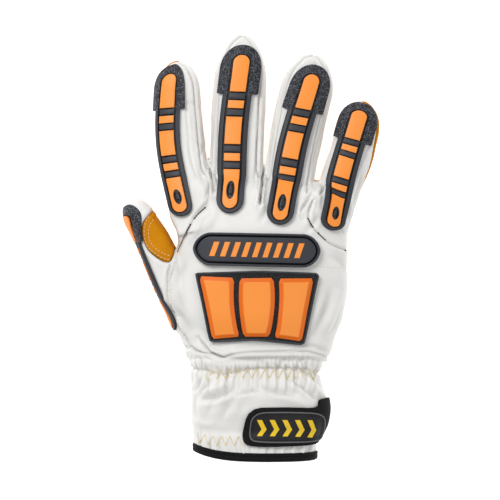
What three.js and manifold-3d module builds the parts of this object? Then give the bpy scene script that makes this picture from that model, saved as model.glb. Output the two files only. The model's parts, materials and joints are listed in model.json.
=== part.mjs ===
// Impact work glove for the right hand, lying palm down on a flat surface.
// Millimetres: +X to the little finger, +Y to the fingertips, +Z up.
// The origin is on the flat underside of the palm.
import * as THREE from "three";
import { mergeVertices } from "three/addons/utils/BufferGeometryUtils.js";
import Module from "manifold-3d";

const wasm = await Module();
wasm.setup();

// Driving sizes of the leather
const GLOVE_LENGTH = 254;
const PALM_WIDTH = 107;
const PALM_HEIGHT = 36;
const FINGER_WIDTH = 30;
const FINGER_HEIGHT = 20;
const THUMB_WIDTH = 20;
const THUMB_HEIGHT = 27;
const WRIST_WIDTH = 79;
const CUFF_HEIGHT = 35;
const WALL = 1.8;
const SEAM_GAP = 0.3;
const GATHER_DEPTH = 1.3;
const GATHERS = 12;
const FOLD_DEPTH = 1.8;
const FOURCHETTE_WIDTH = 5;

// Driving sizes of the moulded guards
const GUARD_SEAT = 0.3;
const GUARD_BASE = 1.7;
const GUARD_RISE = 1.7;
const GUARD_WIDTH = 17.6;
const CAP_WIDTH = 23.6;
const BLOCK_WIDTH = 10;
const PEEP_WIDTH = 4.6;
const PEEP_LENGTH = 9.4;
const BAR_LENGTH = 75.6;
const BAR_WIDTH = 19.8;
const BAR_RIM = 2.2;
const BAR_GROOVE = 1.6;
const SHIELD_WIDTH = 74;
const SHIELD_LENGTH = 43.6;
const SHIELD_BEVEL = 2.8;
const SHIELD_EDGE = 0.85;
const SHIELD_CROWN = 0.5;
const RIB_ROOT = 0.5;

// Driving sizes of the strap and the edge binding
const STRAP_THICKNESS = 2.2;
const STRAP_LENGTH = 50;
const STRAP_WIDTH = 24;
const STRAP_LAP = 1;
const LABEL_THICKNESS = 1;
const BINDING_WIDTH = 4.2;
const BINDING_WALL = 0.9;

// The cuff stands off the surface by the strap that passes under it.
const CUFF_LIFT = GUARD_SEAT + STRAP_THICKNESS;
// The round undersides reach a little below the surface and are flattened on it.
const PRESSED = 0.5;
const FAR = 2 * GLOVE_LENGTH;
const WELD = 1e-4;
// How far cuts reach past the side of a finger, and how far guards are cut up from its middle
const SIDE_REACH = 2 * WALL;
const GUARD_REACH = 0.5 * PALM_WIDTH;
// Heights of the side seams, in palm heights and cuff heights
const PALM_SEAM = 0.47;
const CUFF_SEAM = 0.4;

// Facets of a section over the top and under the bottom
const HAND_FACETS = { over: 10, under: 4 };
const FINGER_FACETS = { over: 5, under: 3 };
const CUFF_FACETS = { over: 2 * GATHERS, under: 8 };
const CUFF_LINING_FACETS = { over: GATHERS, under: 4 };
const TOP_ROUNDNESS = 2.3;
const BOTTOM_ROUNDNESS = 3.2;
const BELLY = 0.42;
const TIP_ANGLES = [60, 30].map((degrees) => THREE.MathUtils.degToRad(degrees));
const FINGER_STEPS = 3;
const ARC_STEPS = 5;
const EDGE_STEP = 22;
const OVAL_SIDES = 8;

const table = (columns, rows) => {
  const names = columns.split(" ");
  return rows.map((row) => Object.fromEntries(row.map((value, i) => [names[i], value])));
};

// Hand: y in glove lengths, left and right edge in palm widths, top in palm heights,
// lean as the drop of the right side in y for each unit of x.
const HAND = table("y left right top lean", [
  [0.178, -0.37, 0.46, 0.4, 0.1],
  [0.155, -0.434, 0.535, 0.78, 0.08],
  [0.1, -0.436, 0.545, 0.94, 0.05],
  [0.012, -0.412, 0.538, 1, 0.02],
  [-0.045, -0.436, 0.545, 1, 0],
  [-0.11, -0.456, 0.54, 0.99, 0],
  [-0.165, -0.434, 0.517, 0.99, 0],
  [-0.205, -0.386, 0.478, 0.95, 0],
  [-0.243, -0.356, 0.448, 0.985, 0],
  [-0.26, -0.339, 0.426, 0.89, 0],
]);

// Cuff: y in glove lengths, edges in wrist widths, top in cuff heights,
// gather as the depth of the gathers there.
const CUFF = table("y left right top gather", [
  [-0.238, -0.43, 0.52, 0.84, 0],
  [-0.264, -0.456, 0.543, 0.9, 0.7],
  [-0.286, -0.457, 0.521, 0.85, 1],
  [-0.304, -0.452, 0.53, 0.88, 0.9],
  [-0.33, -0.441, 0.556, 0.96, 0.3],
  [-0.37, -0.454, 0.582, 1.01, 0.1],
  [-0.409, -0.444, 0.565, 0.98, 0.5],
  [-0.43, -0.433, 0.532, 0.95, 1],
  [-0.45, -0.427, 0.508, 0.98, 0.5],
  [-0.52, -0.42, 0.5, 1, 0.2],
]);

// Fingers, from the start of the round tip to the root inside the hand: x in palm widths, y in
// glove lengths, half in finger widths, z in palm heights, high in finger heights.
// seamLeft and seamRight are the heights of the palm leather's edge, in finger heights.
const FINGER_COLUMNS = "x y half z high seamLeft seamRight";
const FINGERS = {
  index: {
    tip: 0.07,
    roll: [-36, -26],
    guard: [0.03, 0.893],
    scale: 0.95,
    rows: table(FINGER_COLUMNS, [
      [-0.4, 0.373, 0.425, 0.27, 0.47, 0.62, 0.5],
      [-0.395, 0.3, 0.465, 0.29, 0.5, 0.55, 0.48],
      [-0.38, 0.22, 0.475, 0.33, 0.53, 0.5, 0.48],
      [-0.35, 0.145, 0.465, 0.42, 0.56, 0.55, 0.55],
      [-0.295, 0.045, 0.44, 0.53, 0.58, 0.65, 0.65],
    ]),
  },
  middle: {
    tip: 0.112,
    roll: [-4, -15],
    guard: [0.045, 0.885],
    scale: 1,
    rows: table(FINGER_COLUMNS, [
      [-0.056, 0.392, 0.53, 0.28, 0.5, 0.45, 0.45],
      [-0.068, 0.3, 0.53, 0.31, 0.53, 0.45, 0.45],
      [-0.076, 0.22, 0.535, 0.36, 0.56, 0.48, 0.48],
      [-0.077, 0.14, 0.54, 0.45, 0.59, 0.55, 0.55],
      [-0.058, 0.035, 0.54, 0.54, 0.6, 0.65, 0.65],
    ]),
  },
  ring: {
    tip: 0.0965,
    roll: [4, -12],
    guard: [0.075, 0.925],
    scale: 1,
    rows: table(FINGER_COLUMNS, [
      [0.314, 0.373, 0.522, 0.28, 0.49, 0.45, 0.45],
      [0.27, 0.29, 0.512, 0.3, 0.52, 0.45, 0.45],
      [0.233, 0.21, 0.497, 0.35, 0.55, 0.48, 0.48],
      [0.207, 0.13, 0.49, 0.43, 0.57, 0.55, 0.55],
      [0.188, 0.045, 0.49, 0.52, 0.58, 0.65, 0.65],
    ]),
  },
  little: {
    tip: 0.088,
    roll: [-8, 8],
    guard: [0.035, 0.9],
    scale: 0.9,
    rows: table(FINGER_COLUMNS, [
      [0.6, 0.274, 0.452, 0.26, 0.45, 0.45, 0.8],
      [0.572, 0.222, 0.44, 0.28, 0.47, 0.45, 0.72],
      [0.52, 0.17, 0.405, 0.32, 0.49, 0.48, 0.55],
      [0.468, 0.1, 0.4, 0.4, 0.52, 0.55, 0.6],
      [0.405, 0.01, 0.4, 0.49, 0.54, 0.65, 0.65],
    ]),
  },
};

// Thumb, in the same columns, its half in thumb widths and its height in thumb heights.
const THUMB = {
  tip: 0.055,
  roll: [-62, -80],
  guard: [0.03, 0.94],
  scale: 0.95,
  rows: table(FINGER_COLUMNS, [
    [-0.6, 0.0732, 0.43, 0.34, 0.43, 0.34, 0.34],
    [-0.544, 0.033, 0.47, 0.36, 0.46, 0.34, 0.34],
    [-0.492, -0.0142, 0.49, 0.38, 0.49, 0.36, 0.36],
    [-0.434, -0.0685, 0.52, 0.39, 0.51, 0.38, 0.38],
    [-0.362, -0.1228, 0.55, 0.41, 0.52, 0.38, 0.38],
    [-0.255, -0.175, 0.55, 0.42, 0.52, 0.4, 0.4],
  ]),
};

// Folds of the leather: from and to in palm widths and glove lengths, width in palm widths,
// depth in fold depths; a negative depth stands proud.
const FOLDS = table("x0 y0 x1 y1 width depth", [
  [-0.36, -0.13, -0.17, -0.25, 0.07, 0.9],
  [-0.28, -0.1, -0.08, -0.24, 0.07, -0.4],
  [0.12, -0.16, 0.06, -0.25, 0.07, 0.5],
  [0.32, -0.12, 0.42, -0.22, 0.07, -0.6],
  [0.22, -0.16, 0.34, -0.25, 0.07, 0.8],
  [-0.33, 0.02, -0.4, -0.1, 0.07, 0.5],
  [0.42, 0.06, 0.47, -0.1, 0.07, 0.5],
  [-0.2, 0.155, -0.19, 0.07, 0.06, 1],
  [0.1, 0.15, 0.08, 0.07, 0.06, 1],
  [0.31, 0.12, 0.29, 0.05, 0.06, 1],
]);

// Thumb patch: the outline of the palm leather that shows at the thumb crotch from above.
const THUMB_PATCH = table("x y", [
  [-0.55, 0.09],
  [-0.584, 0.0765],
  [-0.61, 0.0598],
  [-0.61, 0.0283],
  [-0.584, 0.0019],
  [-0.544, -0.0149],
  [-0.487, -0.0283],
  [-0.447, -0.0319],
  [-0.36, -0.03],
  [-0.36, 0.12],
]);

// Seams across the back, from above: x in palm widths, y in glove lengths.
const INDEX_SEAM = table("x y", [
  [-0.9, 0.7],
  [-0.206, 0.7],
  [-0.232, 0.26],
  [-0.2315, 0.184],
  [-0.234, 0.12],
  [-0.303, 0.09],
  [-0.336, 0.057],
  [-0.381, 0.017],
  [-0.404, -0.005],
  [-0.45, -0.04],
  [-0.9, -0.04],
]);
const LITTLE_SEAM = table("x y", [
  [0.9, 0.7],
  [0.42, 0.7],
  [0.42, 0.3],
  [0.383, 0.17],
  [0.376, 0.125],
  [0.426, 0.083],
  [0.482, 0.035],
  [0.56, -0.005],
  [0.9, -0.005],
]);

// Where the palm leather ends on the sides of the hand, and the part of the fingers that has
// strips between them, from above: x in palm widths, y in glove lengths.
const PALM_EDGE = table("x y", [
  [-1, -0.5],
  [1, -0.5],
  [1, 0.075],
  [-1, 0.1],
]);
const CROTCH_FRONT = table("x y", [
  [-1, 0.118],
  [1, 0.075],
  [1, 1],
  [-1, 1],
]);
// Lines between neighbouring fingers, from behind their crotch outwards, in the same shares.
const FINGER_ORDER = ["index", "middle", "ring", "little"];
const FINGER_LINES = [
  table("x y", [
    [-0.9, 0],
    [-0.9, 0.7],
  ]),
  table("x y", [
    [-0.234, 0],
    [-0.234, 0.12],
    [-0.2315, 0.184],
    [-0.232, 0.26],
    [-0.206, 0.7],
  ]),
  table("x y", [
    [0.09, 0],
    [0.09, 0.16],
    [0.115, 0.3],
    [0.19, 0.43],
    [0.3, 0.7],
  ]),
  table("x y", [
    [0.375, 0],
    [0.38, 0.16],
    [0.458, 0.3],
    [0.53, 0.375],
    [0.6, 0.7],
  ]),
  table("x y", [
    [0.9, 0],
    [0.9, 0.7],
  ]),
];
const CROTCHES = table("left right", [
  ["index", "middle"],
  ["middle", "ring"],
  ["ring", "little"],
]);

// Cuff edge, from above: x in wrist widths, y in glove lengths.
const MOUTH = table("x y", [
  [-1, -0.44],
  [-0.44, -0.46],
  [-0.37, -0.481],
  [-0.19, -0.495],
  [0.08, -0.4985],
  [0.45, -0.496],
  [0.5, -0.486],
  [0.52, -0.465],
  [1, -0.44],
]);

// Moulded pattern along a finger guard, in guard lengths from the tip.
const BLOCKS = table("name from to", [
  ["tip", 0.06, 0.272],
  ["upper", 0.326, 0.372],
  ["middle", 0.424, 0.588],
  ["lower", 0.644, 0.69],
  ["base", 0.742, 0.972],
]);
const RIBS = table("from to", [
  [0.28, 0.318],
  [0.38, 0.416],
  [0.596, 0.636],
  [0.698, 0.734],
]);
const CAP_END = 0.305;
const BODY_FROM = 0.15;
const PEEP_AT = 0.87;

// Knuckle bar: its middle and turn, and the points of an end in half widths of the bar.
const BAR_AT = new THREE.Vector2(0.039 * PALM_WIDTH, 0);
const BAR_TURN = THREE.MathUtils.degToRad(-1.2);
const BAR_END = table("over back", [
  [-1, 0.95],
  [-0.72, 0.2],
  [0, 0],
  [0.72, 0.2],
  [1, 0.95],
]);

// Shield on the back of the hand: x in shield widths from its middle, y in shield lengths from its top.
const SHIELD_AT = { x: 0.039 * PALM_WIDTH, y: -0.0545 * GLOVE_LENGTH };
const SHIELD_OUTLINE = table("x y", [
  [-0.475, 0.02],
  [-0.45, 0],
  [0.03, -0.03],
  [0.49, 0],
  [0.51, 0.04],
  [0.49, 0.2],
  [0.395, 0.97],
  [0.37, 1],
  [0, 0.975],
  [-0.33, 0.985],
  [-0.36, 0.96],
]);
const SHIELD_PADS = {
  left: table("x y", [
    [-0.43, 0.08],
    [-0.17, 0.108],
    [-0.177, 0.42],
    [-0.13, 0.915],
    [-0.335, 0.945],
  ]),
  middle: table("x y", [
    [-0.118, 0.118],
    [0.14, 0.108],
    [0.16, 0.42],
    [0.108, 0.915],
    [-0.088, 0.915],
    [-0.13, 0.42],
  ]),
  right: table("x y", [
    [0.19, 0.118],
    [0.455, 0.1],
    [0.362, 0.96],
    [0.16, 0.922],
    [0.2, 0.4],
  ]),
};

// Strap end on the back: x in strap lengths from its free end, y in strap widths from its lower edge.
const STRAP_AT = { x: -0.038 * WRIST_WIDTH, y: -0.4675 * GLOVE_LENGTH };
const STRAP_OUTLINE = table("x y", [
  [0.1, 1],
  [0, 0.21],
  [0.11, 0],
  [0.9, 0.06],
  [0.99, 0.42],
  [1.4, 0.42],
  [1.4, 1.26],
  [1, 1.26],
  [0.9, 1.2],
  [0.9, 0.99],
  [0.48, 1.02],
]);
const STRAP_UNDER = table("x y", [
  [0.12, 0.5],
  [1.4, 0.42],
  [1.4, 1.26],
  [0.12, 1.18],
]);
const LABEL_OUTLINE = table("x y", [
  [0.13, 0.84],
  [0.09, 0.27],
  [0.17, 0.15],
  [0.84, 0.2],
  [0.86, 0.83],
  [0.48, 0.87],
]);

const FOLD_END = 0.15;

const onGlove = (point) => new THREE.Vector2(point.x * PALM_WIDTH, point.y * GLOVE_LENGTH);
const onCuff = (point) => new THREE.Vector2(point.x * WRIST_WIDTH, point.y * GLOVE_LENGTH);
const onShield = (point) =>
  new THREE.Vector2(SHIELD_AT.x + point.x * SHIELD_WIDTH, SHIELD_AT.y - point.y * SHIELD_LENGTH);
const onStrap = (point) =>
  new THREE.Vector2(STRAP_AT.x + point.x * STRAP_LENGTH, STRAP_AT.y + point.y * STRAP_WIDTH);

// Solids

function solidFrom(points, faces) {
  const vertProperties = new Float32Array(points.flatMap((p) => [p.x, p.y, p.z]));
  const build = (list) => {
    const triVerts = new Uint32Array(list.flat());
    return new wasm.Manifold(new wasm.Mesh({ numProp: 3, vertProperties, triVerts }));
  };
  const solid = build(faces);
  return solid.volume() < 0 ? build(faces.map(([a, b, c]) => [a, c, b])) : solid;
}

// Closed body through rings of equal count, each end closed on a point.
function loft(rings, start, end) {
  const sides = rings[0].length;
  const faces = [];
  for (let r = 0; r + 1 < rings.length; r += 1) {
    for (let i = 0; i < sides; i += 1) {
      const near = r * sides + i;
      const next = r * sides + ((i + 1) % sides);
      faces.push([near, next, next + sides], [near, next + sides, near + sides]);
    }
  }
  const first = rings.length * sides;
  const last = (rings.length - 1) * sides;
  for (let i = 0; i < sides; i += 1) {
    const next = (i + 1) % sides;
    faces.push([first, next, i], [first + 1, last + i, last + next]);
  }
  return solidFrom([...rings.flat(), start, end], faces);
}

const middleOf = (ring) =>
  ring.reduce((sum, p) => sum.add(p), new THREE.Vector3()).divideScalar(ring.length);

// Extruded outline whose points (across, along, height) are placed by a function.
function placedPrism(outline, low, high, place) {
  const geometry = new THREE.ExtrudeGeometry(new THREE.Shape(outline), {
    depth: high - low,
    bevelEnabled: false,
    steps: 1,
  });
  geometry.deleteAttribute("normal");
  geometry.deleteAttribute("uv");
  const merged = mergeVertices(geometry, WELD);
  const at = merged.getAttribute("position");
  const points = [];
  for (let i = 0; i < at.count; i += 1) points.push(place(at.getX(i), at.getY(i), at.getZ(i) + low));
  const faces = [];
  for (let i = 0; i < merged.index.count; i += 3) {
    faces.push([merged.index.getX(i), merged.index.getX(i + 1), merged.index.getX(i + 2)]);
  }
  return solidFrom(points, faces);
}

const upright = (outline, low = -FAR, high = FAR) =>
  placedPrism(outline, low, high, (x, y, z) => new THREE.Vector3(x, y, z));

const join = (solids) => wasm.Manifold.union(solids);
const FAR_SQUARE = [45, 135, 225, 315].map((degrees) => {
  const angle = THREE.MathUtils.degToRad(degrees);
  return new THREE.Vector2(FAR * Math.cos(angle), FAR * Math.sin(angle));
});
const above = (z) => upright(FAR_SQUARE, z);
// The largest body of a cut, without the crumbs beside it.
const largest = (solid) => solid.decompose().sort((a, b) => b.volume() - a.volume())[0];

// Leather form

const smooth = (a, b, c, d, t) =>
  0.5 * (2 * b + (c - a) * t + (2 * a - 5 * b + 4 * c - d) * t * t + (3 * b - a - 3 * c + d) * t ** 3);

// Every column of a table at a share t of its rows, on one smooth curve.
function between(rows, t) {
  const last = rows.length - 1;
  const i = Math.min(Math.floor(t * last), last - 1);
  const row = (k) => rows[Math.min(Math.max(k, 0), last)];
  const value = (name) =>
    smooth(row(i - 1)[name], row(i)[name], row(i + 1)[name], row(i + 2)[name], t * last - i);
  return Object.fromEntries(Object.keys(rows[0]).map((name) => [name, value(name)]));
}

// How deep the folds lie at a place on the glove; each rises from its ends to its middle.
function foldDepth(x, y) {
  let depth = 0;
  for (const fold of FOLDS) {
    const from = onGlove({ x: fold.x0, y: fold.y0 });
    const to = onGlove({ x: fold.x1, y: fold.y1 });
    const run = to.clone().sub(from);
    const place = new THREE.Vector2(x, y).sub(from);
    const share = THREE.MathUtils.clamp(place.dot(run) / run.lengthSq(), 0, 1);
    const away = place.sub(run.multiplyScalar(share)).length() / (fold.width * PALM_WIDTH);
    const along = Math.sin(Math.PI * THREE.MathUtils.lerp(FOLD_END, 1 - FOLD_END, share));
    depth += fold.depth * FOLD_DEPTH * along * Math.exp(-away * away);
  }
  return depth;
}

const power = (value, roundness) => Math.sign(value) * Math.abs(value) ** (2 / roundness);

// Directions round a section: across from -1 to 1, up from -1 to 1.
function round({ over, under }) {
  const direction = (angle, roundness) => ({
    across: power(Math.cos(angle), roundness),
    up: power(Math.sin(angle), roundness),
  });
  return [
    ...Array.from({ length: over }, (_, i) => direction((Math.PI * i) / over, TOP_ROUNDNESS)),
    ...Array.from({ length: under }, (_, i) => direction(Math.PI * (1 + i / under), BOTTOM_ROUNDNESS)),
  ];
}

// Section of the hand or cuff, grown by an offset all round.
function bodyRing(row, size, offset) {
  const left = row.left * size.width;
  const right = row.right * size.width;
  const top = row.top * size.height;
  const belly = BELLY * top;
  const under = belly + size.sunk;
  return round(size.facets).map(({ across, up }, i) => {
    const x = (left + right) / 2 + (across * (right - left)) / 2;
    const fold = Math.max(up, 0) * foldDepth(x, row.y * GLOVE_LENGTH);
    const grow = offset - fold - size.pinch(i) * (row.gather ?? 0) * GATHER_DEPTH;
    const lean = (row.lean ?? 0) * (x - (left + right) / 2);
    return new THREE.Vector3(
      x + across * grow,
      row.y * GLOVE_LENGTH - lean + size.endShift(row) * offset,
      size.lift + belly + up * ((up > 0 ? top - belly : under) + grow),
    );
  });
}

const handSize = {
  width: PALM_WIDTH,
  height: PALM_HEIGHT,
  facets: HAND_FACETS,
  lift: 0,
  sunk: PRESSED,
  pinch: () => 0,
  endShift: (row) => (row === HAND.at(0) ? 1 : row === HAND.at(-1) ? -1 : 0),
};
const cuffSize = {
  width: WRIST_WIDTH,
  height: CUFF_HEIGHT,
  facets: CUFF_FACETS,
  lift: CUFF_LIFT,
  sunk: 0,
  pinch: (i) => i % 2,
  endShift: () => 0,
};

function bodySolid(rows, size, offset) {
  const rings = rows.map((row) => bodyRing(row, size, offset));
  return loft(rings, middleOf(rings[0]), middleOf(rings.at(-1)));
}

// A finger as its centre line with frames: along is measured from the very tip.
function fingerFrame(finger, width) {
  const places = finger.rows.map(
    (row) => new THREE.Vector3(row.x * PALM_WIDTH, row.y * GLOVE_LENGTH, row.z * PALM_HEIGHT),
  );
  const line = new THREE.CatmullRomCurve3(places, false, "centripetal");
  const tip = finger.tip * GLOVE_LENGTH;
  const length = line.getLength() + tip;
  const at = (along) => {
    const share = THREE.MathUtils.clamp((along - tip) / line.getLength(), 0, 1);
    const back = line.getTangentAt(share);
    back.z = 0;
    back.normalize();
    const centre = line.getPointAt(share);
    if (along < tip) centre.addScaledVector(back, along - tip);
    return { centre, back, side: new THREE.Vector3(-back.y, back.x, 0) };
  };
  return { finger, width, tip, length, at };
}

// Sections of a finger from its tip to its root, as rows with their place along it.
function fingerSections(frame, offset) {
  const { finger, tip, length } = frame;
  const dome = TIP_ANGLES.map((angle) => ({
    along: tip - (tip + offset) * Math.sin(angle),
    shrink: Math.cos(angle),
    row: finger.rows[0],
  }));
  const body = Array.from({ length: FINGER_STEPS + 1 }, (_, i) => ({
    along: tip + ((length - tip) * i) / FINGER_STEPS,
    shrink: 1,
    row: between(finger.rows, i / FINGER_STEPS),
  }));
  return [...dome, ...body];
}

function fingerSolid(frame, height, offset, facets = FINGER_FACETS) {
  const rings = fingerSections(frame, offset).map(({ along, shrink, row }) => {
    const { centre, side } = frame.at(along);
    const half = (row.half * frame.width + offset) * shrink;
    const high = (row.high * height + offset) * shrink;
    return round(facets).map(({ across, up }) =>
      centre.clone().addScaledVector(side, across * half).setZ(centre.z + up * high),
    );
  });
  return loft(rings, frame.at(-offset).centre, middleOf(rings.at(-1)));
}

const frames = Object.fromEntries(
  Object.entries(FINGERS).map(([name, finger]) => [name, fingerFrame(finger, FINGER_WIDTH)]),
);
const thumbFrame = fingerFrame(THUMB, THUMB_WIDTH);

const handForm = (offset) =>
  join([
    bodySolid(HAND, handSize, offset),
    ...Object.values(frames).map((frame) => fingerSolid(frame, FINGER_HEIGHT, offset)),
  ]);
const thumbForm = (offset) => fingerSolid(thumbFrame, THUMB_HEIGHT, offset);
const cuffForm = (offset) => bodySolid(CUFF, cuffSize, offset);
// The same cuff without its gathers: over their crests, or inside all of them.
const plainCuffForm = (offset) => bodySolid(CUFF, { ...cuffSize, pinch: () => 0 }, offset);
const cuffLining = (offset) =>
  bodySolid(CUFF, { ...cuffSize, facets: CUFF_LINING_FACETS, pinch: () => 1 }, offset);
const wholeForm = (offset) => join([handForm(offset), thumbForm(offset), cuffForm(offset)]);

const surface = above(0);
const lining = above(WALL);

// Leather panels

const hollow = join([handForm(-WALL), thumbForm(-WALL)]).intersect(lining);
const handWall = handForm(0).intersect(surface).subtract(hollow).subtract(cuffForm(SEAM_GAP));

// Under a finger's side seams: left and right heights at each section, grown upwards by a gap.
function underSeams(frame, height, gap) {
  const rings = fingerSections(frame, SIDE_REACH).map(({ along, shrink, row }) => {
    const { centre, side } = frame.at(along);
    const half = row.half * frame.width * shrink + SIDE_REACH;
    const low = centre.z - row.high * height;
    const corner = (across, z) => centre.clone().addScaledVector(side, across * half).setZ(z);
    return [
      corner(-1, -FAR),
      corner(1, -FAR),
      corner(1, low + row.seamRight * 2 * row.high * height + gap),
      corner(-1, low + row.seamLeft * 2 * row.high * height + gap),
    ];
  });
  return loft(rings, middleOf(rings[0]), middleOf(rings.at(-1)));
}

const palmSide = (gap) =>
  join([
    upright(PALM_EDGE.map(onGlove), -FAR, PALM_SEAM * PALM_HEIGHT + gap),
    ...Object.values(frames).map((frame) => underSeams(frame, FINGER_HEIGHT, gap)),
  ]);

// A strip down one side of a finger, as wide as the fourchette, narrowing to the tip.
function sideStrip(frame, sign, gap) {
  const rings = fingerSections(frame, 0).map(({ along, shrink, row }) => {
    const { centre, side } = frame.at(along);
    const half = row.half * frame.width * shrink;
    const wide = FOURCHETTE_WIDTH * shrink + gap;
    const corner = (across, z) => centre.clone().addScaledVector(side, sign * across).setZ(z);
    return [
      corner(half - wide, -FAR),
      corner(half + SIDE_REACH, -FAR),
      corner(half + SIDE_REACH, FAR),
      corner(half - wide, FAR),
    ];
  });
  return loft(rings, middleOf(rings[0]), middleOf(rings.at(-1)));
}
const crotchFront = (gap) => upright(CROTCH_FRONT.map(onGlove)).translate(0, -gap, 0);
const fourchette = (left, right, gap) =>
  join([sideStrip(frames[left], 1, gap), sideStrip(frames[right], -1, gap)]).intersect(crotchFront(gap));

// The part of the glove that is one finger, up to the lines beside it.
const lane = (name) => {
  const i = FINGER_ORDER.indexOf(name);
  const [left, right] = [FINGER_LINES[i], FINGER_LINES[i + 1]].map((line) => line.map(onGlove));
  const inside = new THREE.Vector2(SEAM_GAP / 2, 0);
  const outline = [...left.map((p) => p.add(inside)), ...right.map((p) => p.sub(inside)).reverse()];
  return upright(outline).intersect(crotchFront(0));
};

const palmSheet = handWall.intersect(palmSide(0));
const palmPanel = palmSheet.subtract(crotchFront(SEAM_GAP));
const fronts = FINGER_ORDER.map((name) => ({
  name: `${name}_front`,
  solid: palmSheet.intersect(lane(name)),
}));
const backWall = handWall.subtract(palmSide(SEAM_GAP));
const strips = CROTCHES.map(({ left, right }) => ({
  name: `fourchette_${left}_${right}`,
  solid: backWall.intersect(fourchette(left, right, 0)),
}));
const backs = backWall.subtract(
  join(CROTCHES.map(({ left, right }) => fourchette(left, right, SEAM_GAP))),
);
const indexSide = upright(INDEX_SEAM.map(onGlove));
const littleSide = upright(LITTLE_SEAM.map(onGlove));
const seamSlit = (region) =>
  region.translate(SEAM_GAP, -SEAM_GAP, 0).add(region.translate(-SEAM_GAP, -SEAM_GAP, 0));
const backSheet = backs.subtract(seamSlit(indexSide)).subtract(seamSlit(littleSide));
const handBack = backSheet.subtract(crotchFront(SEAM_GAP));
const fingerBack = (name) => backSheet.intersect(lane(name));

const thumbWall = thumbForm(0)
  .intersect(surface)
  .subtract(thumbForm(-WALL).intersect(lining))
  .subtract(handForm(SEAM_GAP))
  .subtract(cuffForm(SEAM_GAP));
const patch = (gap) =>
  join([upright(THUMB_PATCH.map(onGlove)), underSeams(thumbFrame, THUMB_HEIGHT, gap)]);
const thumbPalm = thumbWall.intersect(patch(0));
const thumbBack = thumbWall.subtract(patch(SEAM_GAP).add(patch(0).translate(-SEAM_GAP, 0, 0)));

const mouthRegion = (shift) =>
  upright([
    ...MOUTH.map(onCuff).map((p) => new THREE.Vector2(p.x, p.y + shift)),
    new THREE.Vector2(FAR, FAR),
    new THREE.Vector2(-FAR, FAR),
  ]);
const cuffTube = cuffForm(0).subtract(cuffLining(-WALL));
const cuffWall = cuffTube.intersect(mouthRegion(BINDING_WALL + SEAM_GAP));
const cuffSplit = CUFF_LIFT + CUFF_SEAM * CUFF_HEIGHT;
const cuffPalm = cuffWall.subtract(above(cuffSplit));
const cuffBack = cuffWall.intersect(above(cuffSplit + SEAM_GAP));

const bindingSkin = SEAM_GAP + BINDING_WALL;
const cuffBinding = plainCuffForm(bindingSkin)
  .subtract(cuffLining(-WALL - bindingSkin))
  .intersect(mouthRegion(0))
  .subtract(mouthRegion(BINDING_WIDTH))
  .subtract(
    plainCuffForm(SEAM_GAP)
      .subtract(cuffLining(-WALL - SEAM_GAP))
      .intersect(mouthRegion(BINDING_WALL)),
  );

// Moulded guards, as layers over the leather cut by an outline

const level = {
  seat: GUARD_SEAT,
  foot: GUARD_SEAT + GUARD_BASE - RIB_ROOT,
  base: GUARD_SEAT + GUARD_BASE,
  block: GUARD_SEAT + GUARD_BASE + SEAM_GAP,
  top: GUARD_SEAT + GUARD_BASE + GUARD_RISE,
};
const forms = Object.fromEntries(
  Object.entries(level).map(([name, offset]) => [name, wholeForm(offset).intersect(surface)]),
);
const layer = (low, high) => forms[high].subtract(forms[low]);
const layers = {
  base: layer("seat", "base"),
  rib: layer("foot", "top"),
  block: layer("block", "top"),
};

// Places (across, along, height) over a finger, turned round it by its roll.
function rolled(frame, start, length) {
  const [tipRoll, baseRoll] = frame.finger.roll;
  return (across, along, height) => {
    const { centre, side } = frame.at(start + along);
    const roll = THREE.MathUtils.degToRad(tipRoll + ((baseRoll - tipRoll) * along) / length);
    const up = new THREE.Vector3(0, 0, Math.cos(roll)).addScaledVector(side, Math.sin(roll));
    const over = new THREE.Vector3(0, 0, -Math.sin(roll)).addScaledVector(side, Math.cos(roll));
    return centre.clone().addScaledVector(over, across).addScaledVector(up, height);
  };
}

// Outline of a strip along a guard with each end round or square; points are (across, along).
function stripOutline(from, to, half, roundFrom, roundTo) {
  const arc = (at, sign) =>
    Array.from({ length: ARC_STEPS + 1 }, (_, i) => {
      const angle = (Math.PI * i) / ARC_STEPS;
      return new THREE.Vector2(sign * half * Math.cos(angle), at - sign * half * Math.sin(angle));
    });
  const start = from + (roundFrom ? half : 0);
  const end = to - (roundTo ? half : 0);
  const steps = Math.max(1, Math.round((end - start) / EDGE_STEP));
  const edge = (sign) =>
    Array.from({ length: steps - 1 }, (_, i) => {
      const along = start + ((end - start) * (i + 1)) / steps;
      return new THREE.Vector2(sign * half, along);
    });
  const square = (at, sign) => [
    new THREE.Vector2(-sign * half, at),
    new THREE.Vector2(sign * half, at),
  ];
  const near = roundFrom ? arc(start, 1).reverse() : square(start, 1);
  const far = roundTo ? arc(end, -1).reverse() : square(end, -1);
  return [...near, ...edge(1), ...far, ...edge(-1).reverse()];
}

function ovalOutline(centre, halfWidth, halfLength) {
  return Array.from({ length: OVAL_SIDES }, (_, i) => {
    const angle = (2 * Math.PI * i) / OVAL_SIDES;
    return new THREE.Vector2(halfWidth * Math.cos(angle), centre + halfLength * Math.sin(angle));
  });
}

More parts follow.
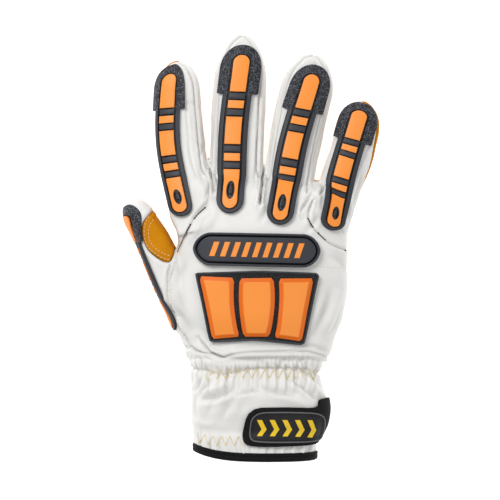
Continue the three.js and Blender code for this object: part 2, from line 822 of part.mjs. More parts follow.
function fingerGuard(name, frame) {
  const [from, to] = frame.finger.guard;
  const start = from * frame.length;
  const length = (to - from) * frame.length;
  const scale = frame.finger.scale;
  const place = rolled(frame, start, length);
  const cut = (outline) => placedPrism(outline, 0, GUARD_REACH, place);
  const half = (GUARD_WIDTH * scale) / 2;
  const block = (BLOCK_WIDTH * scale) / 2;
  const cap = cut(stripOutline(0, CAP_END * length, (CAP_WIDTH * scale) / 2, true, false));
  const body = cut(stripOutline(BODY_FROM * length, length, half, false, true));
  const ribs = RIBS.map((rib) => cut(stripOutline(rib.from * length, rib.to * length, block, false, false)));
  const base = layers.base.intersect(cap.add(body)).add(layers.rib.intersect(join(ribs)));
  const peep = cut(ovalOutline(PEEP_AT * length, PEEP_WIDTH / 2, PEEP_LENGTH / 2));
  const blocks = BLOCKS.map((row) => {
    const ends = [row.name === "tip", row.name === "base"];
    const outline = stripOutline(row.from * length, row.to * length, block, ...ends);
    const solid = layers.block.intersect(cut(outline));
    return { name: `${name}_block_${row.name}`, solid: row.name === "base" ? solid.subtract(peep) : solid };
  });
  return { base: { name: `${name}_guard`, solid: base }, blocks };
}

const guards = Object.entries({ ...frames, thumb: thumbFrame }).map(([name, frame]) =>
  fingerGuard(name, frame),
);

// Knuckle bar: a rim, a groove and a raised middle on one base
function barOutline(inset) {
  const half = BAR_WIDTH / 2 - inset;
  const reach = BAR_LENGTH / 2 - inset;
  const end = (sign) =>
    BAR_END.map(({ over, back }) =>
      new THREE.Vector2(reach - back * half, over * half).multiplyScalar(sign),
    );
  return [...end(1), ...end(-1)].map((p) =>
    p.rotateAround(new THREE.Vector2(), BAR_TURN).add(BAR_AT),
  );
}
const barRim = upright(barOutline(0), 0).subtract(upright(barOutline(BAR_RIM)));
const barPlate = upright(barOutline(BAR_RIM + BAR_GROOVE), 0);
const knuckleGuard = layers.base
  .intersect(upright(barOutline(0), BELLY * PALM_HEIGHT))
  .add(layers.rib.intersect(barRim.add(barPlate)).intersect(above(BELLY * PALM_HEIGHT)));

// Back shield: frame with a low rim, three bevelled pads in it
const pads = Object.entries(SHIELD_PADS).map(([name, points]) => ({
  name,
  points: points.map(onShield),
}));
const towardsZero = (value, by) => Math.sign(value) * Math.max(Math.abs(value) - by, 0);
const shrunk = (points, by) => {
  const centre = new THREE.Box2().setFromPoints(points).getCenter(new THREE.Vector2());
  return points.map((p) => {
    const away = p.clone().sub(centre);
    return centre.clone().add(new THREE.Vector2(towardsZero(away.x, by), towardsZero(away.y, by)));
  });
};
const backOnly = above(BELLY * PALM_HEIGHT);
const shieldOutline = SHIELD_OUTLINE.map(onShield);
const padCuts = pads.map((pad) => upright(pad.points));
const shieldFrame = layers.base.intersect(upright(shieldOutline)).intersect(backOnly);
const padLow = wholeForm(level.block + SHIELD_EDGE).subtract(forms.block);
const padHigh = wholeForm(level.top + SHIELD_CROWN).subtract(forms.block);
const shieldPads = pads.map((pad, i) => ({
  name: `shield_pad_${pad.name}`,
  solid: padLow
    .intersect(padCuts[i])
    .add(padHigh.intersect(upright(shrunk(pad.points, SHIELD_BEVEL))))
    .intersect(backOnly),
}));

// Strap round the outer side of the cuff, and the label moulded on it
const clearOfBinding = mouthRegion(BINDING_WIDTH + SEAM_GAP);
const strapBand = (low, high) =>
  plainCuffForm(high).subtract(plainCuffForm(low)).intersect(surface).intersect(clearOfBinding);
const strapLevel = GUARD_SEAT + STRAP_THICKNESS;
const strapMiddle = CUFF_LIFT + BELLY * CUFF_HEIGHT;
const strapTop = upright(STRAP_OUTLINE.map(onStrap), strapMiddle);
const strapBottom = upright(STRAP_UNDER.map(onStrap), -FAR, strapMiddle + STRAP_LAP);
const wristStrap = strapBand(GUARD_SEAT, strapLevel).intersect(strapTop.add(strapBottom));
const strapLabel = strapBand(strapLevel + SEAM_GAP, strapLevel + SEAM_GAP + LABEL_THICKNESS)
  .intersect(upright(LABEL_OUTLINE.map(onStrap), strapMiddle));

// Colours and finish

const finish = (color, roughness) => new THREE.MeshStandardMaterial({ color, roughness, metalness: 0 });
const PEARL_LEATHER = () => finish(0xe9e7e0, 0.62);
const GOLD_LEATHER = () => finish(0xd8971f, 0.6);
const DARK_RUBBER = () => finish(0x2b2c31, 0.55);
const ORANGE_RUBBER = () => finish(0xff9438, 0.45);
const BLACK_WEBBING = () => finish(0x17171a, 0.85);

function meshOf(name, solid, material) {
  const { vertProperties, triVerts } = largest(solid).getMesh();
  const geometry = new THREE.BufferGeometry();
  geometry.setAttribute("position", new THREE.BufferAttribute(new Float32Array(vertProperties), 3));
  geometry.setIndex(new THREE.BufferAttribute(new Uint32Array(triVerts), 1));
  geometry.computeVertexNormals();
  const mesh = new THREE.Mesh(geometry, material);
  mesh.name = name;
  return mesh;
}

const group = (meshes) => {
  const made = new THREE.Group();
  made.add(...meshes);
  return made;
};

const leather = group([
  meshOf("hand_back", handBack, PEARL_LEATHER()),
  meshOf("index_back", backs.intersect(indexSide), PEARL_LEATHER()),
  meshOf("middle_back", fingerBack("middle"), PEARL_LEATHER()),
  meshOf("ring_back", fingerBack("ring"), PEARL_LEATHER()),
  meshOf("little_back", backs.intersect(littleSide), PEARL_LEATHER()),
  ...strips.map(({ name, solid }) => meshOf(name, solid, PEARL_LEATHER())),
  meshOf("palm_panel", palmPanel, GOLD_LEATHER()),
  ...fronts.map(({ name, solid }) => meshOf(name, solid, GOLD_LEATHER())),
  meshOf("thumb_back", thumbBack, PEARL_LEATHER()),
  meshOf("thumb_palm", thumbPalm, GOLD_LEATHER()),
  meshOf("cuff_back", cuffBack, PEARL_LEATHER()),
  meshOf("cuff_palm", cuffPalm, PEARL_LEATHER()),
  meshOf("cuff_binding", cuffBinding, BLACK_WEBBING()),
]);
const closure = group([
  meshOf("wrist_strap", wristStrap, BLACK_WEBBING()),
  meshOf("strap_label", strapLabel, DARK_RUBBER()),
]);
const fingerGuards = group(
  guards.flatMap(({ base, blocks }) => [
    meshOf(base.name, base.solid, DARK_RUBBER()),
    ...blocks.map(({ name, solid }) => meshOf(name, solid, ORANGE_RUBBER())),
  ]),
);
const backGuards = group([
  meshOf("knuckle_guard", knuckleGuard, DARK_RUBBER()),
  meshOf("shield_frame", shieldFrame, DARK_RUBBER()),
  ...shieldPads.map(({ name, solid }) => meshOf(name, solid, ORANGE_RUBBER())),
]);

const glove = group([leather, closure, fingerGuards, backGuards]);
export default glove;
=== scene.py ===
"""Impact work glove for the right hand, lying palm down: its leather, moulded guards, stitching and strap."""

import json
import logging
import math
from contextlib import contextmanager
from dataclasses import dataclass
from enum import Enum
from typing import Callable, Iterator, Sequence

import bmesh
import bpy
import numpy as np
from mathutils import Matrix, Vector, noise
from mathutils.bvhtree import BVHTree
from mathutils.kdtree import KDTree

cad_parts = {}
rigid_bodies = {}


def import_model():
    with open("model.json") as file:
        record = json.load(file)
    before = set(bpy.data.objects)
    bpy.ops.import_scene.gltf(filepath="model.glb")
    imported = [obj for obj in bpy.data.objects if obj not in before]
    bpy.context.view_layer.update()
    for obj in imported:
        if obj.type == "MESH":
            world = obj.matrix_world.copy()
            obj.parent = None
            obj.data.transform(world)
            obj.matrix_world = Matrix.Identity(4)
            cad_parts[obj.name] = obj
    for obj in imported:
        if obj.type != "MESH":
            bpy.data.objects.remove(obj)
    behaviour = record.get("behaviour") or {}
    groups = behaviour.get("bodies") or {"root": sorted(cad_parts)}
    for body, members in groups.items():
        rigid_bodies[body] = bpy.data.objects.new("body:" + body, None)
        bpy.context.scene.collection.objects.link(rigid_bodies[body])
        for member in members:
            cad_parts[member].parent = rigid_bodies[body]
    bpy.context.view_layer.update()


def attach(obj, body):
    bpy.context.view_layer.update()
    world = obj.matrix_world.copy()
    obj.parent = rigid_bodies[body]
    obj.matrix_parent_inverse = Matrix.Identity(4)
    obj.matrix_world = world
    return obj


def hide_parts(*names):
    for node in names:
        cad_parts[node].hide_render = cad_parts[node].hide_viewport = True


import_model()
LOG = logging.getLogger("glove")

Table = dict[str, np.ndarray]
Field = Callable[[np.ndarray], np.ndarray]

# Metres in a millimetre: tables and moulds are in millimetres, meshes in metres
MM = 0.001
# Millimetres in a pixel of the photograph, and the pixel over the origin
PIXEL = 0.6
MIDDLE_PIXEL = 250.0

# Driving sizes of the leather
GLOVE_LENGTH = 254.0
PALM_WIDTH = 107.0
PALM_HEIGHT = 36.0
FINGER_WIDTH = 30.0
FINGER_HEIGHT = 20.0
THUMB_WIDTH = 20.0
THUMB_HEIGHT = 27.0
WRIST_WIDTH = 79.0
CUFF_HEIGHT = 35.0
WALL = 1.8
BELLY = 0.42
TOP_ROUNDNESS = 2.3
BOTTOM_ROUNDNESS = 3.2
PALM_SEAM = 0.39 * PALM_HEIGHT
SEAM_GAP = 0.08
VOXEL = 0.75

# Driving sizes of the guards and the strap
GUARD_SEAT = 0.35
GUARD_WIDTH = 16.2
CAP_WIDTH = 23.6
BLOCK_WIDTH = 8.6
STRAP_SEAT = 0.3
STRAP_THICKNESS = 2.2
STRAP_TOP = STRAP_SEAT + STRAP_THICKNESS
# The cuff stands on the strap that passes under it
CUFF_LIFT = STRAP_TOP
BINDING_WIDTH = 4.4
BINDING_WALL = 0.9

# Steps of the lattices that let the flat mouldings and the strap bend
MOULD_STEP = 2.0
STRAP_STEP = 1.6


class Slot(Enum):
    """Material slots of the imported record."""

    PEARL = "pearl_leather"
    GOLD = "gold_leather"
    DARK = "dark_rubber"
    ORANGE = "orange_rubber"
    BINDING = "black_binding"
    STRAP = "black_strap"
    LABEL = "label_rubber"


class Panel(Enum):
    """Leather panels that are cut from the smooth form."""

    PALM = 0
    HAND = 1
    INDEX = 2
    LITTLE = 3
    CROTCH_INDEX = 4
    CROTCH_MIDDLE = 5
    CROTCH_RING = 6
    CUFF_BACK = 7
    CUFF_PALM = 8
    AWAY = 9


def table(columns: str, rows: Sequence[Sequence[float]]) -> Table:
    """Reads a short table into named columns.

    Args:
        columns: The names, with a space between them.
        rows: One row of numbers for each place.

    Returns:
        Each name with its column.
    """
    return {name: np.array([row[i] for row in rows], float) for i, name in enumerate(columns.split())}


HAND = table("y left right top lean", [
    [0.178, -0.37, 0.46, 0.4, 0.1],
    [0.155, -0.434, 0.535, 0.78, 0.08],
    [0.1, -0.436, 0.545, 0.94, 0.05],
    [0.012, -0.412, 0.538, 1, 0.02],
    [-0.045, -0.436, 0.545, 1, 0],
    [-0.11, -0.456, 0.54, 0.99, 0],
    [-0.165, -0.434, 0.517, 0.99, 0],
    [-0.205, -0.386, 0.478, 0.95, 0],
    [-0.243, -0.356, 0.448, 0.985, 0],
    [-0.26, -0.339, 0.426, 0.89, 0],
])
CUFF = table("y left right top", [
    [-0.238, -0.43, 0.52, 0.84],
    [-0.264, -0.456, 0.543, 0.9],
    [-0.286, -0.457, 0.521, 0.85],
    [-0.304, -0.452, 0.53, 0.88],
    [-0.33, -0.441, 0.556, 0.96],
    [-0.37, -0.454, 0.582, 1.01],
    [-0.409, -0.444, 0.565, 0.98],
    [-0.43, -0.433, 0.532, 0.95],
    [-0.45, -0.427, 0.508, 0.98],
    [-0.52, -0.42, 0.5, 1],
])
FINGER_COLUMNS = "x y half z high seam_left seam_right"
INDEX = table(FINGER_COLUMNS, [
    [-0.4, 0.373, 0.425, 0.27, 0.47, 0.62, 0.5],
    [-0.395, 0.3, 0.465, 0.29, 0.5, 0.55, 0.48],
    [-0.38, 0.22, 0.475, 0.33, 0.53, 0.5, 0.48],
    [-0.35, 0.145, 0.465, 0.42, 0.56, 0.55, 0.55],
    [-0.295, 0.045, 0.44, 0.53, 0.58, 0.65, 0.65],
])
MIDDLE = table(FINGER_COLUMNS, [
    [-0.056, 0.392, 0.53, 0.28, 0.5, 0.2, 0.2],
    [-0.068, 0.3, 0.53, 0.31, 0.53, 0.45, 0.45],
    [-0.076, 0.22, 0.535, 0.36, 0.56, 0.48, 0.48],
    [-0.077, 0.14, 0.54, 0.45, 0.59, 0.55, 0.55],
    [-0.058, 0.035, 0.54, 0.54, 0.6, 0.65, 0.65],
])
RING = table(FINGER_COLUMNS, [
    [0.314, 0.373, 0.522, 0.28, 0.49, 0.2, 0.2],
    [0.27, 0.29, 0.512, 0.3, 0.52, 0.45, 0.45],
    [0.233, 0.21, 0.497, 0.35, 0.55, 0.48, 0.48],
    [0.207, 0.13, 0.49, 0.43, 0.57, 0.55, 0.55],
    [0.188, 0.045, 0.49, 0.52, 0.58, 0.65, 0.65],
])
LITTLE = table(FINGER_COLUMNS, [
    [0.6, 0.274, 0.452, 0.26, 0.45, 0.45, 0.8],
    [0.572, 0.222, 0.44, 0.28, 0.47, 0.45, 0.72],
    [0.52, 0.17, 0.405, 0.32, 0.49, 0.48, 0.55],
    [0.468, 0.1, 0.4, 0.4, 0.52, 0.55, 0.6],
    [0.405, 0.01, 0.4, 0.49, 0.54, 0.65, 0.65],
])
THUMB = table(FINGER_COLUMNS, [
    [-0.6, 0.0732, 0.43, 0.34, 0.43, 0.34, 0.34],
    [-0.544, 0.033, 0.47, 0.36, 0.46, 0.34, 0.34],
    [-0.492, -0.0142, 0.49, 0.38, 0.49, 0.36, 0.36],
    [-0.434, -0.0685, 0.52, 0.39, 0.51, 0.38, 0.38],
    [-0.362, -0.1228, 0.55, 0.41, 0.52, 0.38, 0.38],
    [-0.255, -0.175, 0.55, 0.42, 0.52, 0.4, 0.4],
])

# Seams and edges by pixel of the photograph
INDEX_SEAM = table("px py", [
    [213, -40], [209, 120], [208.5, 190], [207, 203], [196, 213], [190, 226], [182, 243], [178, 252],
    [173, 264], [160, 274], [90, 274],
])
LITTLE_SEAM = table("px py", [
    [325, -40], [325, 120], [320, 182], [311.5, 204], [307.4, 217], [312.5, 226.6], [319.4, 234.4],
    [328, 242.1], [336.6, 246.8], [349, 251.5], [420, 256],
])
HEM = table("px py", [
    [60, 345], [188, 345], [196, 352], [208, 353.5], [216, 355], [223, 358], [232, 354.5], [245, 352],
    [262, 351], [300, 351], [316, 353], [328, 358], [440, 360],
])
MOUTH = table("px py", [
    [60, 436], [188, 446.5], [200, 453.6], [225, 459.5], [262, 461], [312, 460], [320, 455.7], [324, 447],
    [440, 440],
])
PATCH = table("px py", [
    [151.9, 211.9], [145.8, 217.6], [141.2, 224.7], [141.2, 238], [145.8, 249.2], [153, 256.3], [163.2, 262],
    [170.5, 262.5], [174, 256], [176.5, 248], [179, 236], [215, 236], [215, 208], [166, 207],
])

# Folds by pixel: a curve from one end to the other over a middle point, its width in pixels, and
# its depth in millimetres; a negative depth stands proud
# A fold with a positive depth also darkens the leather along its valley: painted shade
FOLD_COLUMNS = "px0 py0 px1 py1 px2 py2 width depth"
HAND_FOLDS = table(FOLD_COLUMNS, [
    [199, 337, 203, 345, 209, 351, 1.6, 1.3],
    [203, 343, 211, 353, 221, 357, 1.8, 1.5],
    [197, 333, 205, 340, 210, 350, 3.2, -0.8],
    [186, 335, 192, 347, 201, 353, 2.2, 0.9],
    [210, 349, 219, 352, 226, 355, 2.4, -0.9],
    [174, 306, 182, 317, 190, 328, 4.5, 1.1],
    [178, 290, 181, 301, 184, 310, 5, 0.7],
    [183, 283, 187, 300, 196, 318, 5, -0.6],
    [176, 318, 184, 330, 193, 338, 4, -0.7],
    [330, 291, 325, 312, 314, 331, 5, 1.1],
    [338, 296, 331, 318, 321, 336, 4.5, -0.8],
    [322, 300, 316, 318, 309, 334, 4, -0.6],
    [343, 300, 337, 320, 329, 333, 3, 0.6],
    [302, 343, 308, 345, 315, 347, 1.6, 0.7],
    [236, 348, 258, 345, 284, 348, 3, 0.7],
    [232, 356, 258, 354.5, 300, 355, 2.6, -0.9],
    [298, 354, 314, 355, 327, 360, 2.4, -0.9],
    [311, 344, 320, 349, 329, 351, 2.5, 0.8],
    [330, 256, 341, 262, 347, 274, 4.5, 0.7],
    [338, 268, 342, 285, 340, 297, 4.5, -0.5],
    [186, 262, 181, 272, 176, 286, 5, 0.7],
    [214, 208, 212, 219, 205, 229, 3, -0.7],
    [207, 200, 205, 208, 199, 214, 2.5, 0.9],
    [263, 190, 260.5, 198, 261, 205, 1.2, 1.9],
    [256, 199, 255, 206, 258, 213, 2.2, -0.8],
    [268, 204, 266, 211, 260, 221, 2.6, 0.8],
    [312, 194, 307, 202, 301, 211, 1.5, 1.7],
    [303, 201, 300, 208, 301, 217, 2.2, -0.7],
    [318, 216, 314, 223, 306, 231, 2.6, 0.8],
    [260, 174, 262, 180, 264, 184, 1.6, 1.2],
    [252, 179, 257, 183, 262, 190, 3, -0.5],
    [209, 183, 207, 192, 205, 199, 1.8, 1.2],
    [199, 167, 202, 179, 206, 189, 3, 0.7],
    [203, 211, 199, 226, 192, 240, 2.4, -0.5],
    [321, 210, 331, 221, 342, 233, 2.6, -0.5],
    [329, 216, 337, 226, 346, 236, 1.6, 0.6],
    [346, 196, 347, 207, 349, 222, 2, 0.6],
    [190, 243, 200, 232, 214, 226, 5, 0.5],
    [172.5, 262, 168, 274, 167.2, 287, 1.2, 1.6],
    [167.2, 283, 167.3, 297, 171, 310, 1.2, 1.6],
    [170.3, 306, 175.5, 320, 182.5, 333, 1.2, 1.4],
    [181.5, 330, 186, 338, 188, 349, 1.3, 1.1],
    # The next two rows fold the side of the gold patch and darken it there: painted shade
    [160, 217, 170, 230, 175.5, 247, 4, 1.4],
    [166, 217, 173, 230, 177.5, 246, 2.5, 1.2],
])
FINGER_FOLDS = table(FOLD_COLUMNS, [
    [186, 101, 187, 117, 189, 140, 1.2, 0.6],
    [189, 140, 191, 158, 197, 178, 1.4, 0.7],
    [195, 92, 198, 116, 200, 130, 2.4, -0.4],
    [198, 142, 203, 149, 200, 156, 2.2, 0.7],
    [184, 104, 191, 103, 198, 107, 2, 0.4],
    [256, 62, 259, 92, 258, 118, 1.3, 0.7],
    [257, 120, 257, 150, 254, 186, 1.4, 0.7],
    [220, 62, 216, 90, 215, 118, 1.3, 0.7],
    [214, 118, 211, 150, 212, 182, 1.3, 0.6],
    [262, 112, 259, 130, 261, 147, 2.4, -0.4],
    [313, 58, 316, 64, 314, 72, 1.6, 0.5],
    [329, 70, 329, 95, 323, 122, 1.4, 0.7],
    [322, 122, 316, 150, 308, 184, 1.4, 0.7],
    [289, 62, 283, 90, 277, 122, 1.3, 0.7],
    [276, 124, 270, 150, 268, 184, 1.3, 0.6],
    [300, 55, 308, 60, 318, 62, 2, -0.5],
    [377, 118, 371, 140, 364, 160, 1.4, 0.5],
    [349, 100, 344, 116, 338, 138, 1.4, 0.6],
    [362, 172, 357, 190, 352, 206, 1.6, 0.6],
    [322, 183, 323, 198, 321, 210, 2, 0.8],
    [167, 77, 163, 90, 161, 110, 2, -0.3],
    [208.8, 163, 211.5, 177, 214.6, 191, 1.1, 2.4],
    [211.6, 184, 213, 188, 213.6, 193, 1.8, 2.2],
    [263.8, 168, 262.6, 182, 260, 203, 1.1, 2.4],
    [261.2, 184, 260.4, 194, 259.5, 203, 1.8, 2.2],
])
CUFF_FOLDS = table(FOLD_COLUMNS, [
    [200, 399, 217, 396, 237, 386, 3.2, 1.9],
    [204, 391, 218, 388, 232, 379, 3.6, -1.1],
    [238, 394, 248, 391.5, 259, 391, 2.2, 1.3],
    [262, 386, 275, 391, 295, 394, 2.6, 1.5],
    [290, 378, 306, 389, 321, 401, 3, 1.6],
    [270, 380, 290, 384, 306, 396, 3.4, -0.9],
    [304, 375, 314, 387, 322, 396, 2.6, -0.8],
    [300, 371, 313, 377, 320, 386, 2.4, 1],
    [202, 377, 199, 384, 195, 391, 1.8, 1.2],
    [209, 381, 204, 388, 199, 395, 2.2, 1.1],
    [196, 392, 194, 405, 196, 416, 3, 0.9],
    [214, 398, 209, 407, 205, 418, 3.6, 0.6],
    [230, 404, 225, 410, 221, 421, 3, 0.8],
    [240, 398, 236, 407, 234, 417, 3.6, -0.8],
    [196, 420, 204, 424, 214, 424, 3, -0.5],
    [214, 405, 232, 397, 262, 398, 5, -0.9],
    [262, 399, 288, 400, 312, 406, 3.4, -0.8],
    [226, 362, 246, 360, 268, 363, 3.2, 0.9],
    [276, 362, 292, 360, 306, 363, 3, 0.8],
    [250, 372, 252, 383, 251, 390, 2, -0.5],
    [286, 358, 280, 366, 277, 374, 1.6, 0.7],
    [302, 359, 298, 366, 296, 374, 1.6, 0.7],
    [199, 356, 202, 364, 201, 374, 1.8, 0.8],
    [190, 360, 191, 372, 193, 384, 2.4, 0.7],
])

# Pattern along a finger guard, in guard lengths from the tip
BLOCKS = table("start end", [[0.06, 0.272], [0.326, 0.372], [0.424, 0.588], [0.644, 0.69], [0.742, 0.972]])
RIBS = table("start end", [[0.284, 0.314], [0.382, 0.413], [0.601, 0.632], [0.702, 0.731]])
CAP_END = 0.287
BODY_FROM = 0.15
PEEP_AT = 0.87


def lerp(start: np.ndarray | float, end: np.ndarray | float, share: np.ndarray | float) -> np.ndarray | float:
    """Value between two values at a share of the way."""
    return start + (end - start) * share


def smooth_step(value: np.ndarray, low: float, high: float) -> np.ndarray:
    """Smooth rise from 0 at low to 1 at high."""
    share = np.clip((value - low) / (high - low), 0, 1)
    return share * share * (3 - 2 * share)


def spline(values: np.ndarray, share: np.ndarray) -> np.ndarray:
    """Smooth curve through values.

    Args:
        values: Values or points, one for each row.
        share: Shares of the rows, from 0 to 1.

    Returns:
        The curve's value at each share.
    """
    last = len(values) - 1
    place = np.clip(share, 0, 1) * last
    i = np.minimum(place.astype(int), last - 1)
    t = place - i
    if values.ndim > 1:
        t = t[:, None]
    a, b, c, d = (values[np.clip(i + step, 0, last)] for step in (-1, 0, 1, 2))
    return 0.5 * (2 * b + (c - a) * t + (2 * a - 5 * b + 4 * c - d) * t**2 + (3 * b - a - 3 * c + d) * t**3)


def between(rows: Table, share: np.ndarray) -> Table:
    """Every column of a table at shares of its rows."""
    return {name: spline(column, share) for name, column in rows.items()}


def photo_points(rows: Table) -> np.ndarray:
    """Places on the ground, in millimetres, of a table's pixels."""
    return np.stack([(rows["px"] - MIDDLE_PIXEL) * PIXEL, (MIDDLE_PIXEL - rows["py"]) * PIXEL], 1)


def resampled(points: np.ndarray, count: int) -> np.ndarray:
    """Smooth curve through points as many even steps."""
    fine = spline(points, np.linspace(0, 1, 12 * len(points)))
    run = np.concatenate([[0], np.cumsum(np.linalg.norm(np.diff(fine, axis=0), axis=1))])
    steps = np.linspace(0, run[-1], count)
    return np.stack([np.interp(steps, run, fine[:, k]) for k in range(fine.shape[1])], 1)


def rounded(points: np.ndarray, rounds: int = 2) -> np.ndarray:
    """Open line with its corners cut round and its ends kept."""
    for _ in range(rounds):
        cut = np.stack([0.75 * points[:-1] + 0.25 * points[1:], 0.25 * points[:-1] + 0.75 * points[1:]], 1)
        points = np.concatenate([points[:1], cut.reshape(-1, 2), points[-1:]])
    return points


def nearest_on(line: np.ndarray, places: np.ndarray) -> tuple[np.ndarray, np.ndarray]:
    """Distance to a flat line of short segments.

    Args:
        line: Points of the line.
        places: Flat places.

    Returns:
        The distance, positive on the line's left, and the share of the way along it.
    """
    best = np.full(len(places), 1e9)
    signed = np.zeros(len(places))
    share = np.zeros(len(places))
    steps = len(line) - 1
    for i in range(steps):
        run = line[i + 1] - line[i]
        away_x, away_y = places[:, 0] - line[i, 0], places[:, 1] - line[i, 1]
        t = np.clip((away_x * run[0] + away_y * run[1]) / (run @ run), 0, 1)
        distance = np.hypot(away_x - t * run[0], away_y - t * run[1])
        closer = distance < best
        best = np.where(closer, distance, best)
        signed = np.where(closer, distance * np.sign(run[0] * away_y - run[1] * away_x), signed)
        share = np.where(closer, (i + t) / steps, share)
    return signed, share


def superellipse(over: int, under: int) -> np.ndarray:
    """Directions round a section, as rows of across and up from -1 to 1."""

    def power(value: np.ndarray, roundness: float) -> np.ndarray:
        """Signed power that makes a circle's part squarer."""
        return np.sign(value) * np.abs(value) ** (2 / roundness)

    top = np.pi * np.arange(over) / over
    bottom = np.pi * (1 + np.arange(under) / under)
    return np.concatenate(
        [
            np.stack([power(np.cos(top), TOP_ROUNDNESS), power(np.sin(top), TOP_ROUNDNESS)], 1),
            np.stack([power(np.cos(bottom), BOTTOM_ROUNDNESS), power(np.sin(bottom), BOTTOM_ROUNDNESS)], 1),
        ]
    )


def mesh_piece(name: str, points: np.ndarray, faces: Sequence[Sequence[int]], scale: float = MM) -> bpy.types.Object:
    """Makes a mesh object at the origin.

    Args:
        name: Name of the piece.
        points: Its points.
        faces: Its faces, as point numbers.
        scale: Metres in a unit of the points.

    Returns:
        The object, linked to the scene.
    """
    mesh = bpy.data.meshes.new(name)
    mesh.from_pydata((np.asarray(points) * scale).tolist(), [], [list(map(int, face)) for face in faces])
    mesh.update()
    piece = bpy.data.objects.new(name, mesh)
    bpy.context.scene.collection.objects.link(piece)
    return piece


def places_of(piece: bpy.types.Object, scale: float = MM) -> np.ndarray:
    """Points of a piece's mesh, in millimetres."""
    flat = np.zeros(len(piece.data.vertices) * 3)
    piece.data.vertices.foreach_get("co", flat)
    return flat.reshape(-1, 3) / scale


def set_places(piece: bpy.types.Object, points: np.ndarray, scale: float = MM) -> None:
    """Moves the points of a piece's mesh, given in millimetres."""
    piece.data.vertices.foreach_set("co", (points * scale).astype(np.float32).ravel())
    piece.data.update()


def normals_of(piece: bpy.types.Object) -> np.ndarray:
    """Unit normals at the points of a piece's mesh."""
    flat = np.zeros(len(piece.data.vertices) * 3)
    piece.data.vertex_normals.foreach_get("vector", flat)
    return flat.reshape(-1, 3)


def set_value(piece: bpy.types.Object, name: str, values: np.ndarray) -> None:
    """Keeps one number for each point of a piece as a named attribute."""
    attribute = piece.data.attributes.get(name) or piece.data.attributes.new(name, "FLOAT", "POINT")
    attribute.data.foreach_set("value", np.asarray(values, np.float32))


def values_of(piece: bpy.types.Object, name: str) -> np.ndarray:
    """Numbers of a named attribute at the points of a piece."""
    values = np.zeros(len(piece.data.vertices))
    piece.data.attributes[name].data.foreach_get("value", values)
    return values


@contextmanager
def edited(piece: bpy.types.Object) -> Iterator[bmesh.types.BMesh]:
    """Opens a piece's mesh for edits, and writes it back after them."""
    bm = bmesh.new()
    bm.from_mesh(piece.data)
    yield bm
    bm.to_mesh(piece.data)
    bm.free()


def outward(piece: bpy.types.Object) -> bpy.types.Object:
    """Turns the faces of a closed piece outwards."""
    with edited(piece) as bm:
        bmesh.ops.recalc_face_normals(bm, faces=bm.faces[:])
    return piece


def tree_of(*pieces: bpy.types.Object) -> BVHTree:
    """Search tree over one or more pieces, in metres."""
    bm = bmesh.new()
    for piece in pieces:
        bm.from_mesh(piece.data)
    tree = BVHTree.FromBMesh(bm)
    bm.free()
    return tree


def only(piece: bpy.types.Object) -> None:
    """Selects one object alone and makes it active."""
    bpy.ops.object.select_all(action="DESELECT")
    piece.select_set(True)
    bpy.context.view_layer.objects.active = piece


def modified(piece: bpy.types.Object, kind: str, **settings: object) -> bpy.types.Object:
    """Adds a modifier to a piece and applies it.

    Args:
        piece: The piece.
        kind: Blender's type of the modifier.
        settings: Its settings.

    Returns:
        The piece.
    """
    only(piece)
    modifier = piece.modifiers.new(kind.title(), kind)
    for name, value in settings.items():
        setattr(modifier, name, value)
    bpy.ops.object.modifier_apply(modifier=modifier.name)
    return piece


def loft(rings: np.ndarray, start: np.ndarray, end: np.ndarray) -> tuple[np.ndarray, list[list[int]]]:
    """Closed skin through rings of equal count.

    Args:
        rings: Points by ring and place round it.
        start: Point that closes the first ring.
        end: Point that closes the last ring.

    Returns:
        The points and faces.
    """
    count, sides = rings.shape[:2]
    faces = []
    for r in range(count - 1):
        for i in range(sides):
            j = (i + 1) % sides
            faces.append([r * sides + i, r * sides + j, (r + 1) * sides + j, (r + 1) * sides + i])
    first, last = count * sides, (count - 1) * sides
    for i in range(sides):
        j = (i + 1) % sides
        faces.append([first, j, i])
        faces.append([first + 1, last + i, last + j])
    return np.concatenate([rings.reshape(-1, 3), [start, end]]), faces


